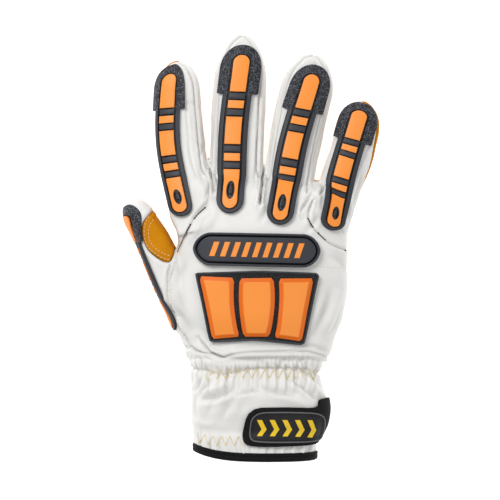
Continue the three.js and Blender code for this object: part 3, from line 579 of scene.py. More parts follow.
class FingerLine:
    """A finger as a centre line with sections, measured along from the very tip."""

    def __init__(self, rows: Table, width: float, height: float, tip: float) -> None:
        """Lays the centre line through the rows.

        Args:
            rows: The finger's table.
            width: Finger width that half is a share of.
            height: Finger height that high is a share of.
            tip: Length of the round tip in glove lengths.
        """
        self.rows = rows
        self.width = width
        self.height = height
        self.tip = tip * GLOVE_LENGTH
        places = np.stack([rows["x"] * PALM_WIDTH, rows["y"] * GLOVE_LENGTH, rows["z"] * PALM_HEIGHT], 1)
        self.line = resampled(places, 160)
        self.run = np.linalg.norm(np.diff(self.line, axis=0), axis=1).sum()
        self.length = self.run + self.tip

    def at(self, along: np.ndarray) -> tuple[np.ndarray, np.ndarray]:
        """Centre and sideways direction at places along the finger."""
        share = np.clip((along - self.tip) / self.run, 0, 1)
        spot = share * (len(self.line) - 1)
        i = np.minimum(spot.astype(int), len(self.line) - 2)
        centre = lerp(self.line[i], self.line[i + 1], (spot - i)[:, None])
        back = self.line[np.minimum(i + 4, len(self.line) - 1)] - self.line[np.maximum(i - 3, 0)]
        back[:, 2] = 0
        back /= np.linalg.norm(back, axis=1)[:, None]
        before = np.minimum(along - self.tip, 0)[:, None]
        side = np.stack([-back[:, 1], back[:, 0], np.zeros(len(back))], 1)
        return centre + back * before, side

    def section(self, along: np.ndarray) -> Table:
        """Half width, half height and seam heights at places along the finger."""
        row = between(self.rows, np.clip((along - self.tip) / self.run, 0, 1))
        shrink = np.sqrt(np.clip(1 - (np.maximum(self.tip - along, 0) / self.tip) ** 2, 0, 1))
        return {
            "half": row["half"] * self.width * shrink,
            "high": row["high"] * self.height * shrink,
            "seam_left": row["seam_left"],
            "seam_right": row["seam_right"],
            "middle": row["z"] * PALM_HEIGHT,
            "full_high": row["high"] * self.height,
        }

    def skin(self) -> tuple[np.ndarray, list[list[int]]]:
        """Closed skin of the finger."""
        dome = self.tip - self.tip * np.sin(np.radians([88, 84, 78, 70, 60, 48, 36, 24, 12]))
        along = np.concatenate([dome, np.linspace(self.tip, self.length, 60)])
        centre, side = self.at(along)
        section = self.section(along)
        directions = superellipse(36, 28)
        rings = (
            centre[:, None, :]
            + side[:, None, :] * (directions[None, :, 0] * section["half"][:, None])[..., None]
            + np.array([0, 0, 1.0]) * (directions[None, :, 1] * section["high"][:, None])[..., None]
        )
        return loft(rings, self.at(np.zeros(1))[0][0], centre[-1])

    def locate(self, places: np.ndarray) -> tuple[np.ndarray, np.ndarray]:
        """Along and across of places over the finger."""
        line = np.concatenate([self.at(np.zeros(1))[0], self.line[::13]])[:, :2]
        run = np.concatenate([[0], np.cumsum(np.linalg.norm(np.diff(line, axis=0), axis=1))])
        best = np.full(len(places), 1e9)
        along = np.zeros(len(places))
        signed = np.zeros(len(places))
        for i in range(len(line) - 1):
            step = (line[i + 1] - line[i]) / (run[i + 1] - run[i])
            away_x, away_y = places[:, 0] - line[i, 0], places[:, 1] - line[i, 1]
            t = np.clip(away_x * step[0] + away_y * step[1], -99 if i == 0 else 0, run[i + 1] - run[i])
            miss_x, miss_y = away_x - t * step[0], away_y - t * step[1]
            miss = np.hypot(miss_x, miss_y)
            closer = miss < best
            best = np.where(closer, miss, best)
            along = np.where(closer, run[i] + t, along)
            signed = np.where(closer, miss * np.sign(step[0] * miss_y - step[1] * miss_x), signed)
        return along, signed

    def seam_height(self, along: np.ndarray, across: np.ndarray) -> np.ndarray:
        """Height of the palm leather's edge at places over the finger."""
        section = self.section(along)
        reach = np.clip(across / np.maximum(section["half"], 1), -1, 1)
        seam = lerp(section["seam_left"], section["seam_right"], (reach + 1) / 2)
        return section["middle"] + (2 * seam - 1) * section["full_high"]


FINGERS = {
    "index": FingerLine(INDEX, FINGER_WIDTH, FINGER_HEIGHT, 0.075),
    "middle": FingerLine(MIDDLE, FINGER_WIDTH, FINGER_HEIGHT, 0.118),
    "ring": FingerLine(RING, FINGER_WIDTH, FINGER_HEIGHT, 0.0925),
    "little": FingerLine(LITTLE, FINGER_WIDTH, FINGER_HEIGHT, 0.08),
}
THUMB_LINE = FingerLine(THUMB, THUMB_WIDTH, THUMB_HEIGHT, 0.055)


class Form:
    """The smooth outer form of the leather, before it is cut into panels."""

    OVER, UNDER = 60, 52
    DIRECTIONS = superellipse(OVER, UNDER)

    def hand_rings(self) -> np.ndarray:
        """Sections of the hand, from the fingers to the wrist."""
        row = between(HAND, np.linspace(0, 1, 90))
        return self.body_rings(row, PALM_WIDTH, PALM_HEIGHT, 0, 0.5, row["lean"])

    def cuff_rings(self, rows: Table, grow: float = 0) -> np.ndarray:
        """Sections of the cuff at the given rows, from the wrist to past the mouth."""
        return self.body_rings(rows, WRIST_WIDTH, CUFF_HEIGHT, CUFF_LIFT, 0, np.zeros(len(rows["y"])), grow)

    def cuff_at(self, y: np.ndarray, grow: float = 0) -> np.ndarray:
        """Sections of the cuff at places up the glove, in millimetres."""
        share = np.interp(-y / GLOVE_LENGTH, -CUFF["y"], np.linspace(0, 1, len(CUFF["y"])))
        return self.cuff_rings({**between(CUFF, share), "y": y / GLOVE_LENGTH}, grow)

    def body_rings(
        self, row: Table, width: float, height: float, lift: float, sunk: float, lean: np.ndarray, grow: float = 0
    ) -> np.ndarray:
        """Sections of the hand or cuff.

        Args:
            row: Place, left, right and top of each section.
            width: Width that left and right are shares of.
            height: Height that top is a share of.
            lift: Height of the underside.
            sunk: How far the underside is pressed below that.
            lean: How far each section leans towards the fingers on its left.
            grow: Distance that the sections are grown by.

        Returns:
            Points by section and place round it.
        """
        left, right = row["left"] * width, row["right"] * width
        top = row["top"] * height
        belly = BELLY * top
        across, up = self.DIRECTIONS[None, :, 0], self.DIRECTIONS[None, :, 1]
        x = ((left + right) / 2)[:, None] + across * ((right - left) / 2 + grow)[:, None]
        y = (row["y"] * GLOVE_LENGTH)[:, None] - lean[:, None] * (x - ((left + right) / 2)[:, None])
        high = np.where(up > 0, (top - belly)[:, None], (belly + sunk)[:, None]) + grow
        z = lift + belly[:, None] + up * high
        return np.stack([x, y, z], 2)

    def hand(self) -> bpy.types.Object:
        """Smooth closed form of the hand with its four fingers and the cuff."""
        bodies = (self.hand_rings(), self.cuff_rings(between(CUFF, np.linspace(0, 1, 60))))
        parts = [loft(rings, rings[0].mean(0), rings[-1].mean(0)) for rings in bodies]
        return self.merged("hand_form", parts + [line.skin() for line in FINGERS.values()])

    def thumb(self) -> bpy.types.Object:
        """Smooth closed form of the thumb."""
        return self.merged("thumb_form", [THUMB_LINE.skin()])

    def merged(self, name: str, parts: list[tuple[np.ndarray, list[list[int]]]]) -> bpy.types.Object:
        """One smooth even skin round closed skins that overlap.

        Args:
            name: Name of the form.
            parts: Points and faces of each skin.

        Returns:
            The form, with its underside flat on the ground.
        """
        points, faces, base = [], [], 0
        for part_points, part_faces in parts:
            points.append(part_points)
            faces += [[base + i for i in face] for face in part_faces]
            base += len(part_points)
        form = mesh_piece(name, np.concatenate(points), faces)
        modified(form, "REMESH", mode="VOXEL", voxel_size=VOXEL * MM, adaptivity=0)
        modified(form, "SMOOTH", factor=0.5, iterations=6)
        places = places_of(form)
        places[:, 2] = np.maximum(places[:, 2], 0)
        set_places(form, places)
        return form


def inside_depth(tree: BVHTree, places: np.ndarray) -> np.ndarray:
    """How deep places lie inside a closed form, in millimetres; negative outside it."""
    depth = np.zeros(len(places))
    for i, place in enumerate(places):
        near, normal, _, distance = tree.find_nearest(Vector(place * MM))
        inward = (near - Vector(place * MM)).dot(normal) > 0
        depth[i] = (distance if inward else -distance) / MM
    return depth


class Cutter:
    """Cuts a skin exactly along the zero lines of fields over its points."""

    # A cut's nearest place to an edge's end, as a share of the edge
    NEAREST = 0.12
    # Faces of the smallest island that isn't dropped
    ISLAND = 300

    def __init__(self, piece: bpy.types.Object) -> None:
        """Keeps the skin to cut."""
        self.piece = piece

    def cut(self, field: Field) -> None:
        """Splits the skin's edges and faces where a field changes sign.

        Args:
            field: Value at each place, in millimetres.
        """
        mesh = self.piece.data
        value = field(places_of(self.piece))
        ends = np.zeros(len(mesh.edges) * 2, int)
        mesh.edges.foreach_get("vertices", ends)
        ends = ends.reshape(-1, 2)
        crossing = np.flatnonzero(value[ends[:, 0]] * value[ends[:, 1]] < 0)
        with edited(self.piece) as bm:
            bm.edges.ensure_lookup_table()
            fresh, faces = set(), set()
            for edge in [bm.edges[i] for i in crossing]:
                faces.update(edge.link_faces)
                a, b = edge.verts
                at_a, at_b = value[a.index], value[b.index]
                share = min(max(at_a / (at_a - at_b), self.NEAREST), 1 - self.NEAREST)
                fresh.add(bmesh.utils.edge_split(edge, a, share)[1])
            for face in faces:
                new = [v for v in face.verts if v in fresh]
                if len(new) == 2:
                    bmesh.utils.face_split(face, new[0], new[1])

    def centres(self) -> np.ndarray:
        """Middle of each face, in millimetres."""
        flat = np.zeros(len(self.piece.data.polygons) * 3)
        self.piece.data.polygons.foreach_get("center", flat)
        return flat.reshape(-1, 3) / MM

    def part(self, name: str, mask: np.ndarray) -> bpy.types.Object:
        """Makes a piece of the faces that a mask picks out, with the numbers kept at their points.

        Args:
            name: Name of the piece.
            mask: True at each face to keep.

        Returns:
            The new piece, an open skin.
        """
        mesh = self.piece.data
        kept = [list(mesh.polygons[i].vertices) for i in np.flatnonzero(mask)]
        used = np.unique(np.concatenate([np.array(face) for face in kept]))
        number = np.full(len(mesh.vertices), -1)
        number[used] = np.arange(len(used))
        faces = [[int(number[i]) for i in face] for face in kept]
        piece = mesh_piece(name, places_of(self.piece, 1.0)[used], faces, 1.0)
        for attribute in mesh.attributes:
            if attribute.domain == "POINT" and attribute.data_type == "FLOAT":
                set_value(piece, attribute.name, values_of(self.piece, attribute.name)[used])
        self.drop_crumbs(piece)
        return piece

    def drop_crumbs(self, piece: bpy.types.Object) -> None:
        """Deletes a piece's loose islands of few faces."""
        with edited(piece) as bm:
            bmesh.ops.dissolve_degenerate(bm, dist=1e-6, edges=bm.edges[:])
            left = set(bm.faces)
            crumbs = []
            while left:
                island, front = [], [left.pop()]
                while front:
                    face = front.pop()
                    island.append(face)
                    near = {other for edge in face.edges for other in edge.link_faces} & left
                    left -= near
                    front += near
                if len(island) < self.ISLAND:
                    crumbs += island
            bmesh.ops.delete(bm, geom=crumbs, context="FACES")


@dataclass
class Seams:
    """Lines over the photograph where the leather panels meet."""

    index: np.ndarray
    little: np.ndarray
    hem: np.ndarray
    mouth: np.ndarray
    patch: np.ndarray

    @classmethod
    def read(cls) -> "Seams":
        """Smooth lines through the tables of pixels."""
        return cls(*(rounded(photo_points(rows)) for rows in (INDEX_SEAM, LITTLE_SEAM, HEM, MOUTH, PATCH)))

    def height(self, places: np.ndarray) -> np.ndarray:
        """Height above the palm leather's edge: zero on the edge itself."""
        x, y = places[:, 0] / PALM_WIDTH, places[:, 1] / GLOVE_LENGTH
        front = lerp(0.118, 0.075, (x + 1) / 2)
        lanes = [
            self.lane(y, [0.12, 0.184, 0.26, 0.7], [-0.2345, -0.2315, -0.232, -0.206]),
            self.lane(y, [0, 0.16, 0.3, 0.43, 0.7], [0.09, 0.09, 0.115, 0.19, 0.3]),
            self.lane(y, [0, 0.16, 0.3, 0.375, 0.7], [0.375, 0.38, 0.458, 0.53, 0.6]),
        ]
        total = np.zeros(len(places))
        weight = np.full(len(places), 1e-9)
        for i, line in enumerate(FINGERS.values()):
            along, across = line.locate(places)
            after = smooth_step(x - lanes[i - 1], -0.02, 0.02) if i > 0 else 1.0
            before = smooth_step(lanes[i] - x, -0.02, 0.02) if i < len(lanes) else 1.0
            total += line.seam_height(along, across) * after * before
            weight += after * before
        share = smooth_step(y, front - 0.045, front + 0.03)
        return places[:, 2] - lerp(PALM_SEAM, total / weight, share)

    @staticmethod
    def lane(y: np.ndarray, ys: list[float], xs: list[float]) -> np.ndarray:
        """Middle between two fingers, in palm widths, at each place up the hand."""
        return np.interp(y, ys, xs)


class Leather:
    """Every leather panel of the glove, cut from one smooth form and dressed with its folds."""

    # Regions that get finer skin for their folds, as pixel boxes: left, top, right, bottom
    FINE = (
        (184, 334, 332, 388),
        (190, 432, 330, 458),
        (200, 150, 216, 214),
        (254, 150, 268, 216),
        (292, 168, 322, 226),
    )
    FINE_ABOVE = 13
    FOURCHETTE_EDGE = 3.4
    # How deep the thumb's leather runs in under the hand's
    TUCK = 1.0
    # Lines beside the hem, as distance past it, width and push: a tuck and a roll
    HEM_LINES = ((10.9, 1.15, -1.5), (5.2, 2.6, 0.7))
    # Width and depth of a seam's groove, and distance, width and height of the swell beside it
    GROOVE = (0.75, 0.75)
    SWELL = (2.1, 1.2, 0.3)
    UNEVEN = 0.55
    # Distances from crest to crest of the small and the wide puckers
    SMALL_PITCH = 2.72
    WIDE_PITCH = 5.9
    # Share of the flat palm's faces that is kept, and how far its sides are pulled in
    PALM_KEPT = 0.4
    PALM_PULL = 0.35

    def __init__(self, seams: Seams, form: Form) -> None:
        """Builds the smooth forms.

        Args:
            seams: Lines where the panels meet.
            form: Maker of the smooth skins.
        """
        self.seams = seams
        self.skin = form.hand()
        self.thumb_skin = form.thumb()
        self.tree = tree_of(self.skin)
        self.thumb_tree = tree_of(self.skin, self.thumb_skin)

    def refine(self) -> None:
        """Makes the skin finer over the regions with small folds."""
        with edited(self.skin) as bm:
            edges = set()
            for face in bm.faces:
                place = face.calc_center_median() / MM
                px, py = place.x / PIXEL + MIDDLE_PIXEL, MIDDLE_PIXEL - place.y / PIXEL
                if place.z > self.FINE_ABOVE and any(l < px < r and t < py < b for l, t, r, b in self.FINE):
                    edges.update(face.edges)
            bmesh.ops.subdivide_edges(bm, edges=list(edges), cuts=1, use_grid_fill=True)

    def fourchette(self, places: np.ndarray, name: str, side: int) -> np.ndarray:
        """Millimetres past the edge of a finger's top, on one side of it."""
        line = FINGERS[name]
        along, across = line.locate(places)
        return side * across - line.section(along)["half"] + self.edge(places)

    def edge(self, places: np.ndarray) -> np.ndarray:
        """Width of the strip beside a finger that belongs to its fourchette, which closes at the crotch."""
        first = np.interp(places[:, 0], [-25, 5, 40], [34, 32, 22])
        return lerp(-4.0, self.FOURCHETTE_EDGE, smooth_step(places[:, 1], first, first + 16))

    def cut(self) -> list[bpy.types.Object]:
        """Cuts the skin along every seam.

        Returns:
            The open panels.
        """
        seams = self.seams
        cutter = Cutter(self.skin)

        def beside(line: np.ndarray) -> Field:
            """Distance from a seam over the photograph."""
            return lambda places: nearest_on(line, places[:, :2])[0]

        fields = (beside(seams.mouth), beside(seams.hem), seams.height, beside(seams.index), beside(seams.little))
        for field in fields:
            cutter.cut(field)
        sides = (("index", 1), ("middle", -1), ("middle", 1), ("ring", -1), ("ring", 1), ("little", -1))
        for name, side in sides:
            cutter.cut(lambda places, name=name, side=side: self.fourchette(places, name, side))
        panel = self.panels(cutter.centres())
        self.mark(cutter, panel)
        self.push(cutter.piece)
        names = {
            Panel.PALM: "palm_leather",
            Panel.HAND: "hand_back_leather",
            Panel.INDEX: "index_back_leather",
            Panel.LITTLE: "little_back_leather",
            Panel.CROTCH_INDEX: "index_fourchette",
            Panel.CROTCH_MIDDLE: "middle_fourchette",
            Panel.CROTCH_RING: "ring_fourchette",
            Panel.CUFF_BACK: "cuff_back_leather",
            Panel.CUFF_PALM: "cuff_palm_leather",
        }
        return [cutter.part(name, panel == kind.value) for kind, name in names.items()]

    def panels(self, centres: np.ndarray) -> np.ndarray:
        """Which panel each face belongs to, by its middle."""
        seams = self.seams
        flat = centres[:, :2]
        panel = np.full(len(centres), Panel.HAND.value)
        panel[nearest_on(seams.index, flat)[0] < 0] = Panel.INDEX.value
        panel[nearest_on(seams.little, flat)[0] > 0] = Panel.LITTLE.value
        located = {name: line.locate(centres) for name, line in FINGERS.items()}
        strip = self.edge(centres)
        edge = {name: FINGERS[name].section(along)["half"] - strip for name, (along, _) in located.items()}
        for kind, left, right, first in (
            (Panel.CROTCH_INDEX, "index", "middle", 30),
            (Panel.CROTCH_MIDDLE, "middle", "ring", 28),
            (Panel.CROTCH_RING, "ring", "little", 19),
        ):
            from_left, from_right = located[left][1], located[right][1]
            between_fingers = (from_left > 0) & (from_right < 0) & (centres[:, 1] > first)
            past = (from_left > edge[left]) & (from_left < 18) | (-from_right > edge[right]) & (from_right > -18)
            panel[between_fingers & past] = kind.value
        panel[seams.height(centres) < 0] = Panel.PALM.value
        cuff = nearest_on(seams.hem, flat)[0] < 0
        panel[cuff] = Panel.CUFF_BACK.value
        panel[cuff & (centres[:, 2] < PALM_SEAM)] = Panel.CUFF_PALM.value
        panel[nearest_on(seams.mouth, flat)[0] < 0] = Panel.AWAY.value
        return panel

    def mark(self, cutter: Cutter, panel: np.ndarray) -> None:
        """Keeps, for each point of the skin, its distance to the nearest seam."""
        bm = bmesh.new()
        bm.from_mesh(cutter.piece.data)
        bm.edges.ensure_lookup_table()
        points = []
        for edge in bm.edges:
            if len(edge.link_faces) == 2:
                one, two = (panel[face.index] for face in edge.link_faces)
                middle = np.array([(edge.verts[0].co + edge.verts[1].co) / 2]) / MM
                crotch = Panel.CROTCH_INDEX.value <= max(one, two) <= Panel.CROTCH_RING.value
                if crotch and self.edge(middle)[0] < 2:
                    continue
                if one != two and Panel.AWAY.value not in (one, two):
                    points.append(edge.verts[0].co.copy())
                    points.append((edge.verts[0].co + edge.verts[1].co) / 2)
        bm.free()
        tree = KDTree(len(points))
        for i, point in enumerate(points):
            tree.insert(point, i)
        tree.balance()
        distance = [tree.find(Vector(place))[2] / MM for place in places_of(cutter.piece, 1.0)]
        set_value(cutter.piece, "seam_distance", np.array(distance))

    def fold_push(self, places: np.ndarray, rows: Table) -> tuple[np.ndarray, np.ndarray]:
        """Depth of the folds in a table at places over them.

        Args:
            places: Places on the skin.
            rows: Table of folds.

        Returns:
            The depth in millimetres, and the painted shade in each fold's valley, from 0 to 1.
        """
        px, py = places[:, 0] / PIXEL + MIDDLE_PIXEL, MIDDLE_PIXEL - places[:, 1] / PIXEL
        flat = np.stack([px, py], 1)
        push, crease = np.zeros(len(places)), np.zeros(len(places))
        for i in range(len(rows["px0"])):
            ends = np.array([[rows[f"px{k}"][i], rows[f"py{k}"][i]] for k in range(3)])
            width, depth = rows["width"][i], rows["depth"][i]
            reach = ends.max(0) + 4 * width, ends.min(0) - 4 * width
            near = np.flatnonzero(((flat < reach[0]) & (flat > reach[1])).all(1) & (places[:, 2] > 8))
            t = np.linspace(0, 1, 9)[:, None]
            bow = 2 * ends[1] - (ends[0] + ends[2]) / 2
            line = (1 - t) ** 2 * ends[0] + 2 * t * (1 - t) * bow + t**2 * ends[2]
            distance, share = nearest_on(line, flat[near])
            fade = np.sin(np.pi * np.clip(0.06 + 0.88 * share, 0, 1)) ** 0.7
            rims = np.exp(-(((np.abs(distance) - 2.1 * width) / width) ** 2))
            push[near] -= depth * fade * (np.exp(-((distance / width) ** 2)) - 0.35 * rims)
            # Painted shade along the valley of a sunken fold
            if depth > 0:
                dark = fade * np.exp(-((distance / width * 1.5) ** 2)) * min(depth, 1.4)
                crease[near] = np.maximum(crease[near], dark)
        return push, crease

    def gathers(self, places: np.ndarray) -> np.ndarray:
        """Height of the small puckers under the wrist and cuff stitching."""
        x, y = places[:, 0], places[:, 1]
        hem = nearest_on(self.seams.hem, places[:, :2])[0]
        mouth = nearest_on(self.seams.mouth, places[:, :2])[0]
        drift = np.array([noise.noise(Vector((a * 0.05, b * 0.03, 4.0))) for a, b in zip(x, y)])
        strength = np.array([noise.noise(Vector((a * 0.11, b * 0.05, 9.0))) for a, b in zip(x, y)])
        phase = x + 2.4 * drift
        small = np.sin(2 * np.pi * phase / self.SMALL_PITCH)
        wide = np.sin(2 * np.pi * (phase + 1.3 * strength) / self.WIDE_PITCH)
        sewn = smooth_step(-hem, 5, 10.5) * (1 - smooth_step(-hem, 19, 29))
        lip = smooth_step(-hem, 1, 4) * (1 - smooth_step(-hem, 8.5, 11.5))
        end = 1 - smooth_step(mouth, 6, 17)
        fade = smooth_step(places[:, 2], 9, 20)
        push = (0.2 * small * lip + (0.3 * small + 0.6 * wide) * sewn) * (0.85 + 0.9 * strength)
        push += (0.2 * small + 0.5 * wide) * end * (0.8 + strength) * smooth_step(mouth, 0.5, 3.5)
        return push * fade

    def push(self, piece: bpy.types.Object) -> None:
        """Moves the skin's points along their normals into its folds, gathers and seams.

        Args:
            piece: The cut skin with its seam distances.
        """
        places, normals = places_of(piece), normals_of(piece)
        distance = values_of(piece, "seam_distance")
        move, crease = np.zeros(len(places)), np.zeros(len(places))
        for rows in (HAND_FOLDS, FINGER_FOLDS, CUFF_FOLDS):
            fold, deep = self.fold_push(places, rows)
            move += fold
            crease = np.maximum(crease, deep)
        low = np.flatnonzero(places[:, 1] < -54)
        puckers = self.gathers(places[low])
        move[low] += puckers
        # Painted shade in the valleys of the puckers
        crease[low] = np.maximum(crease[low], np.clip(-1.2 * puckers, 0, 0.85))
        hem = nearest_on(self.seams.hem, places[:, :2])[0]
        for past, width, height in self.HEM_LINES:
            move += height * np.exp(-(((hem + past) / width) ** 2)) * smooth_step(places[:, 2], 6, 16)
        soft = [noise.fractal(Vector(place * 0.035), 0.9, 2.1, 4) for place in places]
        move += self.UNEVEN * np.array(soft) * smooth_step(places[:, 2], 1.5, 8)
        width, depth = self.GROOVE
        groove = np.exp(-((distance / width) ** 2))
        beside, reach, swell = self.SWELL
        move += swell * np.exp(-(((distance - beside) / reach) ** 2)) - depth * groove
        moved = places + normals * move[:, None]
        moved[:, 2] = np.where(places[:, 2] < 0.05, places[:, 2], np.maximum(moved[:, 2], 0.02))
        set_places(piece, moved)
        # Painted shade: the seam grooves, and the valleys of folds and puckers, darken the leather's colour
        set_value(piece, "seam", groove * smooth_step(places[:, 2], 0.1, 1.2))
        set_value(piece, "crease", crease)

    def finish(self, piece: bpy.types.Object) -> bpy.types.Object:
        """Gives a panel its thickness, inwards, after its border is pulled clear of its neighbours."""
        if "palm" in piece.name:
            modified(piece, "DECIMATE", ratio=self.PALM_KEPT)
            places, normals = places_of(piece), normals_of(piece)
            places[:, :2] -= self.PALM_PULL * normals[:, :2] * smooth_step(places[:, 2:], 1.5, 5)
            set_places(piece, places)
        self.pull_border(piece)
        modified(piece, "SOLIDIFY", thickness=WALL * MM, offset=-1.0, use_rim=True, use_even_offset=False)
        only(piece)
        bpy.ops.object.shade_smooth_by_angle(angle=math.radians(42))
        if "palm" in piece.name:
            modified(piece, "WEIGHTED_NORMAL", keep_sharp=True, weight=80)
        return piece

    @staticmethod
    def pull_border(piece: bpy.types.Object) -> None:
        """Moves the points of an open skin's border inwards by the seam gap."""
        with edited(piece) as bm:
            moves = {}
            for vert in (v for v in bm.verts if v.is_boundary):
                inner = [e.other_vert(vert).co for e in vert.link_edges if not e.is_boundary]
                if inner:
                    run = sum(inner, Vector()) / len(inner) - vert.co
                    moves[vert] = run.normalized() * min(SEAM_GAP * MM, 0.3 * run.length)
            for vert, run in moves.items():
                vert.co += run

    def thumb_panels(self) -> list[bpy.types.Object]:
        """Cuts the thumb into its two panels and tucks it under the hand's edge.

        Returns:
            The pearl and the gold panel, open.
        """
        cutter = Cutter(self.thumb_skin)
        set_value(self.thumb_skin, "buried", inside_depth(self.tree, places_of(self.thumb_skin)))
        cutter.cut(lambda places: values_of(cutter.piece, "buried") - self.TUCK)
        cutter.cut(self.gold)
        centres = cutter.centres()
        gold = self.gold(centres) < 0
        buried = inside_depth(self.tree, centres) > self.TUCK
        panel = np.where(buried, Panel.AWAY.value, np.where(gold, 1, 0))
        self.mark(cutter, panel)
        self.push(cutter.piece)
        return [cutter.part("thumb_back_leather", panel == 0), cutter.part("thumb_palm_leather", panel == 1)]

    def gold(self, places: np.ndarray) -> np.ndarray:
        """Millimetres outside the gold leather of the thumb: its front and the patch at its crotch."""
        along, across = THUMB_LINE.locate(places)
        front = places[:, 2] - THUMB_LINE.seam_height(along, across)
        patch = nearest_on(self.seams.patch, places[:, :2])[0]
        return np.minimum(front, -patch)


def grid_faces(rows: int, columns: int, closed: bool = False) -> list[list[int]]:
    """Faces between neighbouring rows of points, with the last column joined to the first if closed."""
    faces = []
    for r in range(rows - 1):
        near, far = r * columns, (r + 1) * columns
        for c in range(columns if closed else columns - 1):
            after = (c + 1) % columns
            faces.append([near + c, near + after, far + after, far + c])
    return faces


class Bed:
    """Lattice of places over the leather, on which flat moulded pieces are laid."""

    def __init__(self, us: np.ndarray, vs: np.ndarray, points: np.ndarray, rounds: int = 2, flip: float = 1.0) -> None:
        """Smooths the lattice and finds its normals.

        Args:
            us: Flat places across, in millimetres.
            vs: Flat places along.
            points: Points on the leather by across and along.
            rounds: Times that the lattice is smoothed.
            flip: 1 where across turned to along makes an outward normal, or -1.
        """
        for _ in range(rounds):
            inner = points.copy()
            inner[1:-1] = (points[:-2] + 2 * points[1:-1] + points[2:]) / 4
            points = inner.copy()
            points[:, 1:-1] = (inner[:, :-2] + 2 * inner[:, 1:-1] + inner[:, 2:]) / 4
        self.us, self.vs, self.points = us, vs, points
        over = np.gradient(points, us, axis=0)
        along = np.gradient(points, vs, axis=1)
        normal = np.cross(over, along) * flip
        self.normals = normal / np.linalg.norm(normal, axis=2)[..., None]

    def at(self, flat: np.ndarray) -> np.ndarray:
        """Places on the bed of flat points with heights."""

        def spot(values: np.ndarray, lattice: np.ndarray) -> tuple[np.ndarray, np.ndarray]:
            """Number of each value's lattice step, and the share of the way through it."""
            i = np.clip(np.searchsorted(lattice, values) - 1, 0, len(lattice) - 2)
            return i, (values - lattice[i]) / (lattice[i + 1] - lattice[i])

        i, s = spot(flat[:, 0], self.us)
        j, t = spot(flat[:, 1], self.vs)
        s, t = s[:, None], t[:, None]

        def blend(values: np.ndarray) -> np.ndarray:
            """Lattice values between the four nearest."""
            near = lerp(values[i, j], values[i + 1, j], s)
            far = lerp(values[i, j + 1], values[i + 1, j + 1], s)
            return lerp(near, far, t)

        return blend(self.points) + blend(self.normals) * flat[:, 2:3]

    def lay(self, piece: bpy.types.Object) -> bpy.types.Object:
        """Lays a flat piece, modelled in millimetres, on the bed."""
        set_places(piece, self.at(places_of(piece, 1.0)))
        return piece


@dataclass(frozen=True)
class Fit:
    """How a guard lies on its finger.

    Args:
        tip: Roll about the finger at the guard's tip, in degrees; below 0 it leans towards the thumb's side.
        root: Roll at its root.
        start: Where it starts, in finger lengths from the fingertip.
        end: Where it ends.
        widths: Widths of its cap and its body, as shares of the mould's.
        shifts: Sideways shifts from its tip to its root, in millimetres.
    """

    tip: float
    root: float
    start: float
    end: float
    widths: tuple[float, float]
    shifts: tuple[float, float, float]


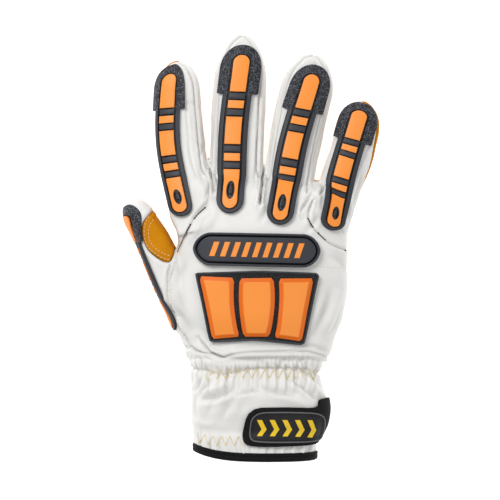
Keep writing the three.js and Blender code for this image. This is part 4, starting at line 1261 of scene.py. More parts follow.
class Beds:
    """Makes the beds from the smooth forms."""

    def __init__(self, leather: Leather, form: Form) -> None:
        """Keeps the forms."""
        self.leather = leather
        self.form = form

    @staticmethod
    def drop(tree: BVHTree, start: np.ndarray, way: np.ndarray, lost: float) -> np.ndarray:
        """Where rays from start along way meet the leather; where they miss, at a lost distance."""
        shape = start.shape
        hits = np.zeros(start.reshape(-1, 3).shape)
        for i, (place, run) in enumerate(zip(start.reshape(-1, 3), way.reshape(-1, 3))):
            hit = tree.ray_cast(Vector(place * MM), Vector(run))[0]
            hits[i] = np.array(hit) / MM if hit else place + run * lost
        return hits.reshape(shape)

    def finger(self, line: FingerLine, tree: BVHTree, fit: Fit) -> Bed:
        """Bed on a finger's back, rolled about it.

        Args:
            line: The finger.
            tree: Search tree of its skin.
            fit: How the guard lies on it.

        Returns:
            The bed, across and along in millimetres from the guard's tip end.
        """
        length = (fit.end - fit.start) * line.length
        us = np.arange(-15, 15.1, 1.0)
        vs = np.arange(-2, length + 2.1, 1.5)
        shift = spline(np.array(fit.shifts, float), np.clip(vs / length, 0, 1))
        centre, side = line.at(fit.start * line.length + vs)
        straight = lerp(centre[:1], centre[-1:], np.linspace(0, 1, len(vs))[:, None])
        centre[:, :2] = lerp(centre, straight, 0.8)[:, :2]
        way = np.gradient(centre, axis=0)
        side = np.stack([-way[:, 1], way[:, 0], np.zeros(len(vs))], 1)
        side /= np.linalg.norm(side, axis=1)[:, None]
        roll = np.radians(lerp(fit.tip, fit.root, np.clip(vs / length, 0, 1)))[:, None]
        z = np.array([0, 0, 1.0])
        up = z * np.cos(roll) + side * np.sin(roll)
        over = side * np.cos(roll) - z * np.sin(roll)
        origin = centre[None] + over[None] * us[:, None, None] + up[None] * 40
        hits = self.drop(tree, origin, np.broadcast_to(-up[None], origin.shape), 40)
        height = ((hits - centre[None]) * up[None]).sum(2)
        crown = line.section(fit.start * line.length + vs)["high"]
        height = np.maximum(height, 0.25 * crown[None])
        points = centre[None] + over[None] * us[:, None, None] + up[None] * height[..., None]
        points = Bed(us, vs, points, 2, -1.0).points
        for j in range(len(vs)):
            run = np.concatenate([[0], np.cumsum(np.linalg.norm(np.diff(points[:, j], axis=0), axis=1))])
            run -= run[len(us) // 2]
            points[:, j] = np.stack([np.interp(us + shift[j], run, points[:, j, k]) for k in range(3)], 1)
        return Bed(us, vs, points, 2, -1.0)

    def back(self) -> Bed:
        """Bed over the back of the hand."""
        us, vs = np.arange(-50, 60.1, 1.5), np.arange(-66, 24.1, 1.5)
        x, y = np.meshgrid(us, vs, indexing="ij")
        start = np.stack([x, y, np.full_like(x, 60)], 2)
        down = np.broadcast_to(np.array([0, 0, -1.0]), start.shape)
        return Bed(us, vs, self.drop(self.leather.tree, start, down, 50), 2)

    def cuff(self) -> Bed:
        """Bed round the cuff, across from the strap's free end round the outer edge and underneath."""
        ys = np.arange(-126, -84, 1.5)
        order = [(Form.OVER // 2 + 8 - i) % len(Form.DIRECTIONS) for i in range(84)]
        points = []
        us = np.arange(0, 112, 1.0)
        for ring in self.form.cuff_at(ys, 0.1)[:, order]:
            run = np.concatenate([[0], np.cumsum(np.linalg.norm(np.diff(ring, axis=0), axis=1))])
            run -= np.interp(STRAP_X, ring[: len(ring) // 2, 0], run[: len(ring) // 2])
            points.append(np.stack([np.interp(us, run, ring[:, k]) for k in range(3)], 1))
        return Bed(us, ys, np.array(points).transpose(1, 0, 2), 1)


class Bench:
    """Models flat pieces in millimetres, with Blender's own tools."""

    SIDES = 64

    def __init__(self) -> None:
        """Starts with an empty bench."""
        self.piece: bpy.types.Object | None = None

    def take(self, piece: bpy.types.Object) -> bpy.types.Object:
        """Makes a piece the one that is worked on."""
        only(piece)
        self.piece = piece
        return piece

    def strip(
        self, start: float, end: float, half: float, low: float, high: float, blunt: tuple[float, float] = (1, 1)
    ) -> bpy.types.Object:
        """Models a flat strip from a disc pulled apart along Y.

        Args:
            start: Where it starts along Y.
            end: Where it ends.
            half: Half its width.
            low: Height of its underside.
            high: Height of its top.
            blunt: Length of each round end in half widths; 0 is a square end.

        Returns:
            The strip.
        """
        middle = (low + high) / 2
        bpy.ops.mesh.primitive_cylinder_add(
            vertices=self.SIDES,
            radius=half,
            depth=high - low,
            location=(0, 0, middle),
            rotation=(0, 0, math.pi / self.SIDES),
        )
        piece = self.take(bpy.context.active_object)
        bpy.ops.object.transform_apply(location=True, rotation=True, scale=True)
        for sign, place, length in ((-1, start, blunt[0]), (1, end, blunt[1])):
            self.pick(lambda co, sign=sign: co.y * sign > 0)
            bpy.ops.transform.resize(value=(1, length, 1), center_override=(0, 0, 0))
            shift = place - sign * half * length
            bpy.ops.transform.translate(value=(0, shift, 0))
            bpy.ops.object.mode_set(mode="OBJECT")
        return piece

    def pick(self, test: Callable[[Vector], bool]) -> None:
        """Selects the points that pass a test, in edit mode."""
        only(self.piece)
        bpy.ops.object.mode_set(mode="EDIT")
        bpy.ops.mesh.select_mode(type="VERT")
        bpy.ops.mesh.select_all(action="DESELECT")
        bm = bmesh.from_edit_mesh(self.piece.data)
        for vert in bm.verts:
            vert.select = test(vert.co)
        bm.select_flush(True)
        bmesh.update_edit_mesh(self.piece.data)

    def pick_top(self) -> None:
        """Selects the highest upward faces, in edit mode."""
        only(self.piece)
        bpy.ops.object.mode_set(mode="EDIT")
        bpy.ops.mesh.select_mode(type="FACE")
        bpy.ops.mesh.select_all(action="DESELECT")
        bm = bmesh.from_edit_mesh(self.piece.data)
        highest = max(face.calc_center_median().z for face in bm.faces)
        for face in bm.faces:
            face.select = face.normal.z > 0.9 and face.calc_center_median().z > highest - 1e-3
        bmesh.update_edit_mesh(self.piece.data)

    def steps(self, piece: bpy.types.Object, moves: Sequence[tuple[float, float]]) -> bpy.types.Object:
        """Insets the top face again and again.

        Args:
            piece: The piece.
            moves: Thickness and depth of each inset.

        Returns:
            The piece.
        """
        self.take(piece)
        self.pick_top()
        for thickness, depth in moves:
            bpy.ops.mesh.inset(thickness=thickness, depth=depth, use_even_offset=True)
        bpy.ops.object.mode_set(mode="OBJECT")
        return piece

    def plate(self, outline: np.ndarray, low: float, high: float) -> bpy.types.Object:
        """Models a flat plate over an outline that runs anticlockwise."""
        faces = [list(range(len(outline)))]
        points = np.column_stack([outline, np.full(len(outline), low)])
        piece = self.take(mesh_piece("plate", points, faces, 1.0))
        bpy.ops.object.mode_set(mode="EDIT")
        bpy.ops.mesh.select_all(action="SELECT")
        bpy.ops.mesh.extrude_region_move(TRANSFORM_OT_translate={"value": (0, 0, high - low)})
        bpy.ops.mesh.select_all(action="SELECT")
        bpy.ops.mesh.normals_make_consistent(inside=False)
        bpy.ops.object.mode_set(mode="OBJECT")
        return piece

    def combine(self, piece: bpy.types.Object, tool: bpy.types.Object, how: str) -> bpy.types.Object:
        """Adds or cuts one piece with another, which is used up."""
        modified(piece, "BOOLEAN", operation=how, object=tool, solver="EXACT")
        bpy.data.objects.remove(tool)
        return piece

    def bevel(self, piece: bpy.types.Object, width: float, segments: int, angle: float = 40) -> bpy.types.Object:
        """Rounds the edges that are sharper than an angle in degrees."""
        return modified(
            piece, "BEVEL", width=width, segments=segments, limit_method="ANGLE", angle_limit=math.radians(angle)
        )

    def slices(self, piece: bpy.types.Object, step: float) -> bpy.types.Object:
        """Cuts a flat piece into a lattice that can bend, in steps both ways."""
        with edited(piece) as bm:
            places = np.array([v.co for v in bm.verts])
            for axis in (0, 1):
                normal = Vector((1 - axis, axis, 0))
                low, high = places[:, axis].min(), places[:, axis].max()
                for place in np.arange(low + step / 2, high, step):
                    geometry = bm.verts[:] + bm.edges[:] + bm.faces[:]
                    bmesh.ops.bisect_plane(bm, geom=geometry, plane_co=normal * place, plane_no=normal, dist=1e-4)
        return piece

    @staticmethod
    def join(name: str, pieces: list[bpy.types.Object]) -> bpy.types.Object:
        """Joins pieces into one under a new name."""
        only(pieces[0])
        for piece in pieces[1:]:
            piece.select_set(True)
        bpy.ops.object.join()
        pieces[0].name = name
        pieces[0].data.name = name
        return pieces[0]

    @staticmethod
    def copy(piece: bpy.types.Object, name: str) -> bpy.types.Object:
        """Copy of a piece with its own mesh."""
        twin = piece.copy()
        twin.data = piece.data.copy()
        twin.name = twin.data.name = name
        bpy.context.scene.collection.objects.link(twin)
        return twin


def smooth_corners(points: np.ndarray, rounds: int = 2, cut: float = 0.22) -> np.ndarray:
    """Outline with its corners cut round, each time by a share of the sides."""
    for _ in range(rounds):
        after = np.roll(points, -1, axis=0)
        points = np.stack([lerp(points, after, cut), lerp(after, points, cut)], 1).reshape(-1, 2)
    return points


def smoothed(piece: bpy.types.Object, angle: float = 38) -> bpy.types.Object:
    """Shades a piece smooth where its faces meet at less than an angle in degrees."""
    only(piece)
    bpy.ops.object.shade_smooth_by_angle(angle=math.radians(angle))
    return piece


@dataclass
class FingerGuards:
    """Moulded guard with its orange blocks, modelled once and laid on each finger and the thumb."""

    bench: Bench
    length: float = 96.0
    base_top: float = 3.2
    pocket: float = 2.2
    block_top: float = 3.75

    # The thumb's guard is lower than the mould by this share
    THUMB_SHARE = 0.74
    FITS = {
        "index": Fit(-54, -38, 0.035, 0.905, (0.8, 0.86), (4.5, -0.2, 1.6)),
        "middle": Fit(-4, -15, 0.06, 0.893, (1.0, 1.0), (1.1, -1.8, -0.7)),
        "ring": Fit(4, -12, 0.067, 0.972, (0.97, 1.0), (1.2, -2.0, -0.3)),
        "little": Fit(-8, 8, 0.032, 0.888, (0.95, 0.95), (1.0, -0.6, -0.1)),
        "thumb": Fit(-54, -80, 0.035, 0.93, (1.08, 0.72), (0.4, -4.4, -0.6)),
    }

    def build(self, beds: Beds, leather: Leather) -> dict[str, bpy.types.Object]:
        """Models the guard and blocks and lays a copy on each finger.

        Args:
            beds: Maker of the beds.
            leather: The leather under them.

        Returns:
            The pieces by name.
        """
        base, blocks = self.base(), self.blocks()
        pieces = {}
        for name, fit in self.FITS.items():
            line = THUMB_LINE if name == "thumb" else FINGERS[name]
            tree = leather.thumb_tree if name == "thumb" else leather.tree
            bed = beds.finger(line, tree, fit)
            stretch = (fit.end - fit.start) * line.length / self.length
            for kind, model in (("guard", base), ("blocks", blocks)):
                piece = self.bench.copy(model, f"{name}_{kind}_rubber")
                flat = places_of(piece, 1.0)
                flat[:, 0] *= lerp(*fit.widths, smooth_step(flat[:, 1], self.along(0.06), self.along(CAP_END)))
                if name == "thumb":
                    flat[:, 2] *= self.THUMB_SHARE
                flat[:, 1] = (flat[:, 1] + self.length / 2) * stretch
                set_places(piece, flat, 1.0)
                pieces[f"{name}_{kind}"] = smoothed(bed.lay(piece))
        for model in (base, blocks):
            bpy.data.objects.remove(model)
        return pieces

    def along(self, share: float) -> float:
        """Place along the mould, whose middle is at zero."""
        return (share - 0.5) * self.length

    def base(self) -> bpy.types.Object:
        """Dark base: a wide cap over the fingertip, two rails, ribs and a ring in its root."""
        bench = self.bench
        cap = bench.strip(self.along(0), self.along(0.5), CAP_WIDTH / 2 - 0.3, GUARD_SEAT, self.base_top, (1.2, 1))
        bench.combine(cap, bench.strip(self.along(CAP_END), self.along(1.2), 30, -1, 9, (0, 0)), "DIFFERENCE")
        body = bench.strip(self.along(BODY_FROM), self.along(1), GUARD_WIDTH / 2, GUARD_SEAT, self.base_top, (0, 1))
        base = bench.combine(body, cap, "UNION")
        bench.bevel(base, 1.1, 3)
        first, last = self.along(BLOCKS["start"][0]) - 0.9, self.along(BLOCKS["end"][-1]) + 0.7
        channel = bench.strip(first, last, BLOCK_WIDTH / 2 + 1.3, self.pocket, 9, (1, 1))
        bench.combine(base, channel, "DIFFERENCE")
        bench.bevel(base, 0.25, 1, 60)
        ribs = self.strips(RIBS, 0.15, self.pocket - 0.2, 3.35)
        for rib in ribs:
            bench.bevel(rib, 0.3, 2)
        peep = bench.strip(-4.5, 4.5, 2.25, self.pocket - 0.2, 3.5, (1.99, 1.99))
        bench.steps(peep, ((0.3, 0.0), (0.1, -0.9), (0.35, -0.1), (0.4, 0.5), (0.5, 0.2)))
        self.shift(peep, self.along(PEEP_AT))
        base = bench.join("guard_model", [base, peep, *ribs])
        bench.slices(base, MOULD_STEP)
        self.keep_relief(base)
        return base

    @staticmethod
    def shift(piece: bpy.types.Object, along: float) -> None:
        """Moves a flat piece along Y."""
        flat = places_of(piece, 1.0)
        flat[:, 1] += along
        set_places(piece, flat, 1.0)

    def strips(self, rows: Table, grow: float, low: float, high: float) -> list[bpy.types.Object]:
        """A strip for each row of the pattern, round at the guard's two ends if it is a block.

        Args:
            rows: Starts and ends in guard lengths.
            grow: Distance that each strip is grown by.
            low: Height of the underside.
            high: Height of the top.

        Returns:
            The strips.
        """
        strips = []
        last = len(rows["start"]) - 1
        for i, (start, end) in enumerate(zip(rows["start"], rows["end"])):
            reach = (end - start) * self.length / 2 + grow
            blocks = rows is BLOCKS
            blunt = (0.95 if blocks and i == 0 else 0, 1 if blocks and i == last else 0)
            strip = self.bench.strip(-reach, reach, BLOCK_WIDTH / 2 + grow, low, high, blunt)
            self.shift(strip, self.along((start + end) / 2))
            strips.append(strip)
        return strips

    def blocks(self) -> bpy.types.Object:
        """The five orange blocks, the last with an oval hole."""
        bench = self.bench
        strips = self.strips(BLOCKS, 0, self.pocket + 0.1, self.block_top)
        hole = bench.strip(-4.75, 4.75, 2.45, -1, 9, (1.93, 1.93))
        self.shift(hole, self.along(PEEP_AT))
        bench.combine(strips[-1], hole, "DIFFERENCE")
        for strip in strips:
            bench.bevel(strip, 0.5, 2)
        blocks = bench.slices(bench.join("blocks_model", strips), MOULD_STEP)
        self.keep_relief(blocks)
        return blocks

    def keep_relief(self, piece: bpy.types.Object) -> None:
        """Keeps the height in the mould, and how granular the rubber is, at each point."""
        flat = places_of(piece, 1.0)
        cap = 1 - smooth_step(flat[:, 1], self.along(CAP_END) - 0.6, self.along(CAP_END) + 0.6)
        low = (flat[:, 2] < self.base_top - 0.45) & (np.abs(flat[:, 0]) < BLOCK_WIDTH / 2 + 1.4)
        # The relief drives painted shade: the guard's low channel floor is painted black and the block bevels a deeper
        # orange
        raised = np.where(low, 0.0, 1.0) if "guard" in piece.name else flat[:, 2] - self.block_top + 1.3
        set_value(piece, "relief", raised)
        outside = np.abs(flat[:, 0]) > BLOCK_WIDTH / 2 + 1.1
        outside |= flat[:, 1] < self.along(BLOCKS["start"][0]) - 0.6
        set_value(piece, "grain", 0.85 * cap * outside)


@dataclass
class BackGuards:
    """Moulded knuckle bar and back shield."""

    bench: Bench
    bed: Bed

    BAR_HALF = 9.9
    BAR_REACH = 37.0
    BAR_TURN = -1.2
    BAR_AT = (4.2, 0.0)
    # Orange stripes on the bar: count, first place, pitch, slant, half thickness and half length
    STRIPES = 9
    STRIPE_FROM = -24.8
    STRIPE_PITCH = 6.2
    STRIPE_SLANT = 0.32
    STRIPE_HALVES = (1.55, 4.3)
    SHIELD_AT = (3.0, -13.6)
    SHIELD_SIZE = (74, 43.6)
    SHIELD = (
        (-0.475, 0.02), (-0.45, 0), (0.03, -0.03), (0.49, 0), (0.51, 0.04), (0.49, 0.2),
        (0.395, 0.97), (0.37, 1), (0, 0.975), (-0.33, 0.985), (-0.36, 0.96),
    )
    # Corners of each pad in shield shares, and how far each side bows out in millimetres
    PADS = {
        "left": (((-0.44, 0.05), (-0.165, 0.07), (-0.122, 0.91), (-0.335, 0.935)), (0, -1.7, 0, 0)),
        "middle": (((-0.122, 0.078), (0.148, 0.07), (0.112, 0.905), (-0.088, 0.91)), (0, 1.9, 0, 1.5)),
        "right": (((0.19, 0.078), (0.465, 0.075), (0.368, 0.95), (0.156, 0.915)), (0, 0, 0, -1.4)),
    }

    def on_bar(self, piece: bpy.types.Object) -> bpy.types.Object:
        """Turns a piece modelled along Y to the knuckle bar's place."""
        flat = places_of(piece, 1.0)
        turn = math.radians(self.BAR_TURN)
        x = flat[:, 1] * math.cos(turn) + flat[:, 0] * math.sin(turn) + self.BAR_AT[0]
        y = flat[:, 1] * math.sin(turn) - flat[:, 0] * math.cos(turn) + self.BAR_AT[1]
        set_places(piece, np.stack([x, y, flat[:, 2]], 1), 1.0)
        return piece

    def bar(self) -> bpy.types.Object:
        """The long bar over the knuckles: a rim, a groove and a raised plate."""
        bench = self.bench
        bar = bench.strip(-self.BAR_REACH, self.BAR_REACH, self.BAR_HALF, GUARD_SEAT, 3.9, (1.02, 1.02))
        flat = places_of(bar, 1.0)
        flat[:, 0] = np.sign(flat[:, 0]) * self.BAR_HALF * (np.abs(flat[:, 0]) / self.BAR_HALF) ** 1.16
        set_places(bar, flat, 1.0)
        bench.steps(bar, ((1.35, 0.0), (0.15, -2.4), (0.75, 0.0), (0.15, 2.2), (0.8, 0.12)))
        bench.bevel(bar, 0.4, 2)
        bench.slices(bar, MOULD_STEP)
        bar.name = "knuckle_guard_rubber"
        # The relief paints the bar's groove black: painted shade
        set_value(bar, "relief", smooth_step(places_of(bar, 1.0)[:, 2], 1.9, 3.2))
        set_value(bar, "grain", np.zeros(len(bar.data.vertices)))
        return smoothed(self.bed.lay(self.on_bar(bar)))

    def bars(self) -> bpy.types.Object:
        """Slanted orange bars along the knuckle plate."""
        bench, strips = self.bench, []
        thick, long = self.STRIPE_HALVES
        for i in range(self.STRIPES):
            strip = bench.strip(-thick, thick, long, 3.35, 4.1, (0, 0))
            flat = places_of(strip, 1.0)
            flat[:, 1] += self.STRIPE_FROM + self.STRIPE_PITCH * i - self.STRIPE_SLANT * flat[:, 0]
            set_places(strip, flat, 1.0)
            bench.bevel(strip, 0.18, 1)
            strips.append(strip)
        bars = bench.slices(bench.join("knuckle_bars", strips), MOULD_STEP)
        set_value(bars, "relief", np.full(len(bars.data.vertices), 1.3))
        return smoothed(self.bed.lay(self.on_bar(bars)))

    def on_shield(self, points: Sequence[tuple[float, float]]) -> np.ndarray:
        """Millimetres of places in shield shares, with the wavy lower edge, run anticlockwise."""
        across, down = np.array(points).T
        x = self.SHIELD_AT[0] + across * self.SHIELD_SIZE[0]
        y = self.SHIELD_AT[1] - down * (self.SHIELD_SIZE[1] + 1.2 * across) + 1.7 * down**3 * np.cos(3.6 * across)
        return np.stack([x, y], 1)[::-1]

    @staticmethod
    def bowed(corners: np.ndarray, bows: Sequence[float]) -> np.ndarray:
        """Outline with bowed sides and corners cut a little round.

        Args:
            corners: Corners, clockwise from above.
            bows: How far each side bows out, from its corner to the next.

        Returns:
            The outline's points.
        """
        outline = []
        for i, bow in enumerate(bows):
            start, end = corners[i], corners[(i + 1) % len(corners)]
            run = end - start
            out = np.array([-run[1], run[0]]) / np.linalg.norm(run)
            for t in np.linspace(0.06, 0.94, 9):
                outline.append(start + run * t + out * 4 * bow * t * (1 - t))
        return np.array(outline)

    def shield(self) -> bpy.types.Object:
        """Dark frame of the shield."""
        bench = self.bench
        frame_plate = bench.plate(smooth_corners(self.on_shield(self.SHIELD), 2, 0.1), GUARD_SEAT, 2.9)
        bench.steps(frame_plate, ((1.0, 0), (0.2, -0.5)))
        bench.slices(frame_plate, MOULD_STEP)
        flat = places_of(frame_plate, 1.0)
        # The relief paints the frame's sunken floor black: painted shade
        set_value(frame_plate, "relief", smooth_step(flat[:, 2], 2.3, 2.9))
        set_value(frame_plate, "grain", np.full(len(flat), 0.14))
        frame_plate.name = frame_plate.data.name = "shield_frame_rubber"
        return smoothed(self.bed.lay(frame_plate))

    def pads(self) -> list[bpy.types.Object]:
        """Three bevelled orange pads in the shield's frame."""
        pads = []
        for name, (corners, bows) in self.PADS.items():
            outline = self.bowed(self.on_shield(corners)[::-1], bows)[::-1]
            pad = self.bench.plate(outline, 2.3, 3.1)
            self.bench.steps(pad, ((2.9, 1.3),))
            self.bench.take(pad)
            self.bench.pick_top()
            bpy.ops.mesh.remove_doubles(threshold=1.1)
            bpy.ops.object.mode_set(mode="OBJECT")
            self.bench.slices(pad, MOULD_STEP)
            # The relief paints the pad's bevels a deeper orange than its top: painted shade
            set_value(pad, "relief", (places_of(pad, 1.0)[:, 2] - 3.0) * 0.75)
            pad.name = pad.data.name = f"shield_pad_{name}_rubber"
            pads.append(smoothed(self.bed.lay(pad), 15))
        return pads


STRAP_X = -0.038 * WRIST_WIDTH
STRAP_Y = -0.4675 * GLOVE_LENGTH
STRAP_SIZE = (50.0, 24.0)


@dataclass
class Strap:
    """Wrist strap round the outer edge of the cuff, with its moulded label."""

    bench: Bench
    bed: Bed

    # Corners as shares of the strap's length on the cuff's back and of its width
    OUTLINE = (
        (-0.05, 0.21), (0.06, 0), (0.9, 0.06), (0.99, 0.3), (2.1, 0.42), (2.1, 1.2),
        (1.1, 1.26), (1, 1.22), (0.9, 1.2), (0.9, 0.99), (0.48, 1.02), (0.04, 1),
    )
    LABEL = ((0.04, 0.24), (0.12, 0.1), (0.93, 0.13), (0.99, 0.5), (0.96, 0.89), (0.48, 0.92), (0.08, 0.9))
    LABEL_LOW = STRAP_TOP + 0.05
    LABEL_THICKNESS = 0.9
    CHEVRONS = 5
    CHEVRON_FROM = 7.2
    CHEVRON_PITCH = 7.4

    @staticmethod
    def on_bed(points: Sequence[tuple[float, float]]) -> np.ndarray:
        """Places on the cuff's bed of strap shares."""
        return np.array(points) * np.array(STRAP_SIZE) + np.array([0, STRAP_Y])

    def strap(self) -> bpy.types.Object:
        """The black strap, with its edges bevelled."""
        bench = self.bench
        strap = bench.plate(smooth_corners(self.on_bed(self.OUTLINE)), STRAP_SEAT, STRAP_TOP)
        bench.bevel(strap, 0.5, 2, 60)
        bench.slices(strap, STRAP_STEP)
        strap.name = strap.data.name = "wrist_strap_weave"
        set_value(strap, "relief", places_of(strap, 1.0)[:, 2])
        return smoothed(self.bed.lay(strap))

    def label(self) -> bpy.types.Object:
        """The moulded label, with a double raised border."""
        bench = self.bench
        low = self.LABEL_LOW
        label = bench.plate(smooth_corners(self.on_bed(self.LABEL), 3), low, low + self.LABEL_THICKNESS)
        bench.steps(label, ((0.75, 0), (0.12, -0.45), (0.6, 0), (0.12, 0.3), (0.5, 0), (0.12, -0.3)))
        bench.slices(label, STRAP_STEP)
        label.name = label.data.name = "strap_label_rubber"
        # The relief paints the label's low parts darker than its outer raised rim: painted shade
        set_value(label, "relief", (places_of(label, 1.0)[:, 2] - low) / self.LABEL_THICKNESS)
        return smoothed(self.bed.lay(label))

    def chevrons(self) -> bpy.types.Object:
        """Yellow chevrons along the label."""
        pieces = []
        low = self.LABEL_LOW
        for i in range(self.CHEVRONS):
            x = self.CHEVRON_FROM + self.CHEVRON_PITCH * i
            arrow = np.array([(x, 6.4), (x + 3, 6.4), (x + 5.7, 11.8), (x + 3, 17.2), (x, 17.2), (x + 2.7, 11.8)])
            piece = self.bench.plate(arrow + np.array([0, STRAP_Y]), low + 0.4, low + 0.72)
            pieces.append(piece)
        chevrons = self.bench.slices(self.bench.join("label_chevrons", pieces), STRAP_STEP)
        return smoothed(self.bed.lay(chevrons))


@dataclass
class Binding:
    """Woven tape folded over the cuff's edge."""

    form: Form
    seams: Seams

    # Where the search for the mouth's edge starts, in glove lengths, and its rounds
    FIRST = -0.49
    TRIES = 4

    def build(self) -> bpy.types.Object:
        """Sweeps the folded tape's section round the mouth.

        Returns:
            The closed tape.
        """
        out, inside = BINDING_WALL, -WALL - BINDING_WALL
        lift = 0.06
        profile = [
            (BINDING_WIDTH, lift), (BINDING_WIDTH, out * 0.75), (BINDING_WIDTH - 0.45, out), (2.5, out),
            (2.25, out * 0.72), (2.0, out), (0.3, out), (-0.5, out * 0.5), (-0.9, -0.3), (-0.9, -1.4),
            (-0.5, -2.2), (0.3, inside), (BINDING_WIDTH - 0.4, inside), (BINDING_WIDTH, -WALL - lift),
            (0.1, -WALL - lift), (-0.12, -0.9), (0.1, lift),
        ]
        count = len(Form.DIRECTIONS)
        line = self.seams.mouth
        edge = self.ring(np.full(count, self.FIRST * GLOVE_LENGTH), np.zeros(count))[:, 1]
        for _ in range(self.TRIES):
            ring = self.ring(edge, np.zeros(count))
            edge = np.interp(ring[:, 0], line[:, 0], line[:, 1])
        points = np.array([self.ring(edge + away, np.full(count, off)) for away, off in profile])
        points[:, :, 2] = np.maximum(points[:, :, 2], 0.05)
        faces = grid_faces(len(profile), count, True)
        last = (len(profile) - 1) * count
        for i in range(count):
            after = (i + 1) % count
            faces.append([last + i, last + after, after, i])
        tape = outward(mesh_piece("cuff_binding_weave", points.reshape(-1, 3), faces))
        set_value(tape, "relief", np.repeat([float(off) for _, off in profile], count))
        return smoothed(tape, 50)

    def ring(self, y: np.ndarray, grow: np.ndarray) -> np.ndarray:
        """Places round the cuff at each direction's own y, grown by an offset."""
        rings, grown = self.form.cuff_at(y), self.form.cuff_at(y, 1.0)
        at = np.arange(len(y))
        return rings[at, at] + (grown[at, at] - rings[at, at]) * grow[:, None]


@dataclass
class Stitching:
    """Stitches sewn over the leather, each a small rounded thread."""

    tree: BVHTree

    # Points round a thread, and rings along a stitch
    SIDES = 6
    STATIONS = 5

    def thread(self, name: str, bow: float, starts: np.ndarray, ends: np.ndarray, radius: float) -> bpy.types.Object:
        """Joined copies of one stitch between pairs of places.

        Args:
            name: Name of the piece.
            bow: Height of each stitch's middle over its ends, in millimetres.
            starts: First end of each stitch.
            ends: Other end.
            radius: Radius of the thread.

        Returns:
            The piece.
        """
        sides, stations = self.SIDES, self.STATIONS
        points, faces = [], []
        for start, end in zip(starts, ends):
            run = end - start
            run_unit = run / np.linalg.norm(run)
            over = np.cross(run_unit, [0, 0, 1.0])
            over /= np.linalg.norm(over)
            up = np.cross(over, run_unit)
            base = len(points)
            for k in range(stations):
                t = k / (stations - 1)
                thick = radius * (0.35 + 0.65 * math.sin(math.pi * min(max(t, 0.06), 0.94)) ** 0.5)
                middle = start + run * t + up * bow * math.sin(math.pi * t)
                for s in range(sides):
                    angle = 2 * math.pi * s / sides
                    points.append(middle + (over * math.cos(angle) + up * math.sin(angle)) * thick)
            faces += [[base + i for i in face] for face in grid_faces(stations, sides, True)]
            faces.append([base + s for s in range(sides)][::-1])
            faces.append([base + (stations - 1) * sides + s for s in range(sides)])
        return smoothed(outward(mesh_piece(name, np.array(points), faces)), 60)

    def onto(self, flat: np.ndarray, lift: float) -> np.ndarray:
        """Places on the leather straight under flat places, raised by a lift."""
        hits = []
        for x, y in flat:
            hit, normal, _, _ = self.tree.ray_cast(Vector((x, y, 60.0)) * MM, Vector((0, 0, -1)))
            place = np.array(hit) / MM if hit else np.array([x, y, 20.0])
            hits.append(place + np.array(normal if hit else (0, 0, 1)) * lift)
        return np.array(hits)

    def run(
        self, name: str, line: np.ndarray, pitch: float, share: float, radius: float, lift: float = 0.1
    ) -> bpy.types.Object:
        """A row of straight stitches along a flat line.

        Args:
            name: Name of the piece.
            line: Points of the line, in millimetres.
            pitch: Distance from stitch to stitch.
            share: Share of the pitch that a stitch shows.
            radius: Radius of the thread.
            lift: Height over the leather.

        Returns:
            The piece.
        """
        length = np.linalg.norm(np.diff(line, axis=0), axis=1).sum()
        count = max(int(length / pitch), 2)
        fine = resampled(line, count * 10 + 1)
        reach = int(round(10 * share))
        starts, ends = fine[:-10:10], fine[reach::10][:count]
        starts = starts[: len(ends)]
        return self.thread(name, radius * 0.7, self.onto(starts, lift), self.onto(ends, lift), radius)

    def zigzag(self, name: str, line: np.ndarray, pitch: float, height: float, radius: float) -> bpy.types.Object:
        """A zigzag about a flat line.

        Args:
            name: Name of the piece.
            line: Points of the line's middle.
            pitch: Distance from one tooth to the next.
            height: Height of the teeth.
            radius: Radius of the thread.

        Returns:
            The piece.
        """
        length = np.linalg.norm(np.diff(line, axis=0), axis=1).sum()
        count = int(round(2 * length / pitch))
        middle = resampled(line, count + 1)
        way = np.gradient(middle, axis=0)
        way /= np.linalg.norm(way, axis=1)[:, None]
        up = np.stack([-way[:, 1], way[:, 0]], 1)
        corners = middle + up * (height / 2) * np.where(np.arange(count + 1) % 2 == 0, 1, -1)[:, None]
        halves = (corners[:-1] + corners[1:]) / 2
        starts = np.concatenate([corners[:-1], halves])
        ends = np.concatenate([halves, corners[1:]])
        return self.thread(name, 0.16, self.onto(starts, 0.12), self.onto(ends, 0.12), radius)


class Wire:
    """Output of a shader node, with arithmetic."""

    def __init__(self, graph: "Graph", socket: bpy.types.NodeSocket) -> None:
        """Wraps a socket of a graph."""
        self.graph = graph
        self.socket = socket

    def math(self, operation: str, first: object, second: object = None, clamp: bool = False) -> "Wire":
        """One Math node."""
        node = self.graph.tree.nodes.new("ShaderNodeMath")
        node.operation = operation
        node.use_clamp = clamp
        self.graph.feed(node.inputs[0], first)
        if second is not None:
            self.graph.feed(node.inputs[1], second)
        return Wire(self.graph, node.outputs[0])

    def __add__(self, other: object) -> "Wire":
        """Sum."""
        return self.math("ADD", self, other)

    __radd__ = __add__

    def __mul__(self, other: object) -> "Wire":
        """Product."""
        return self.math("MULTIPLY", self, other)

    __rmul__ = __mul__

    def __sub__(self, other: object) -> "Wire":
        """Difference."""
        return self.math("SUBTRACT", self, other)

    def __rsub__(self, other: object) -> "Wire":
        """Difference the other way round."""
        return self.math("SUBTRACT", other, self)

    def __truediv__(self, other: object) -> "Wire":
        """Quotient."""
        return self.math("DIVIDE", self, other)

    def over(self, edge: float, width: float) -> "Wire":
        """Straight rise from 0 to 1 across an edge."""
        share = (self - (edge - width / 2)) / width
        return share.math("MULTIPLY", share, 1.0, True)


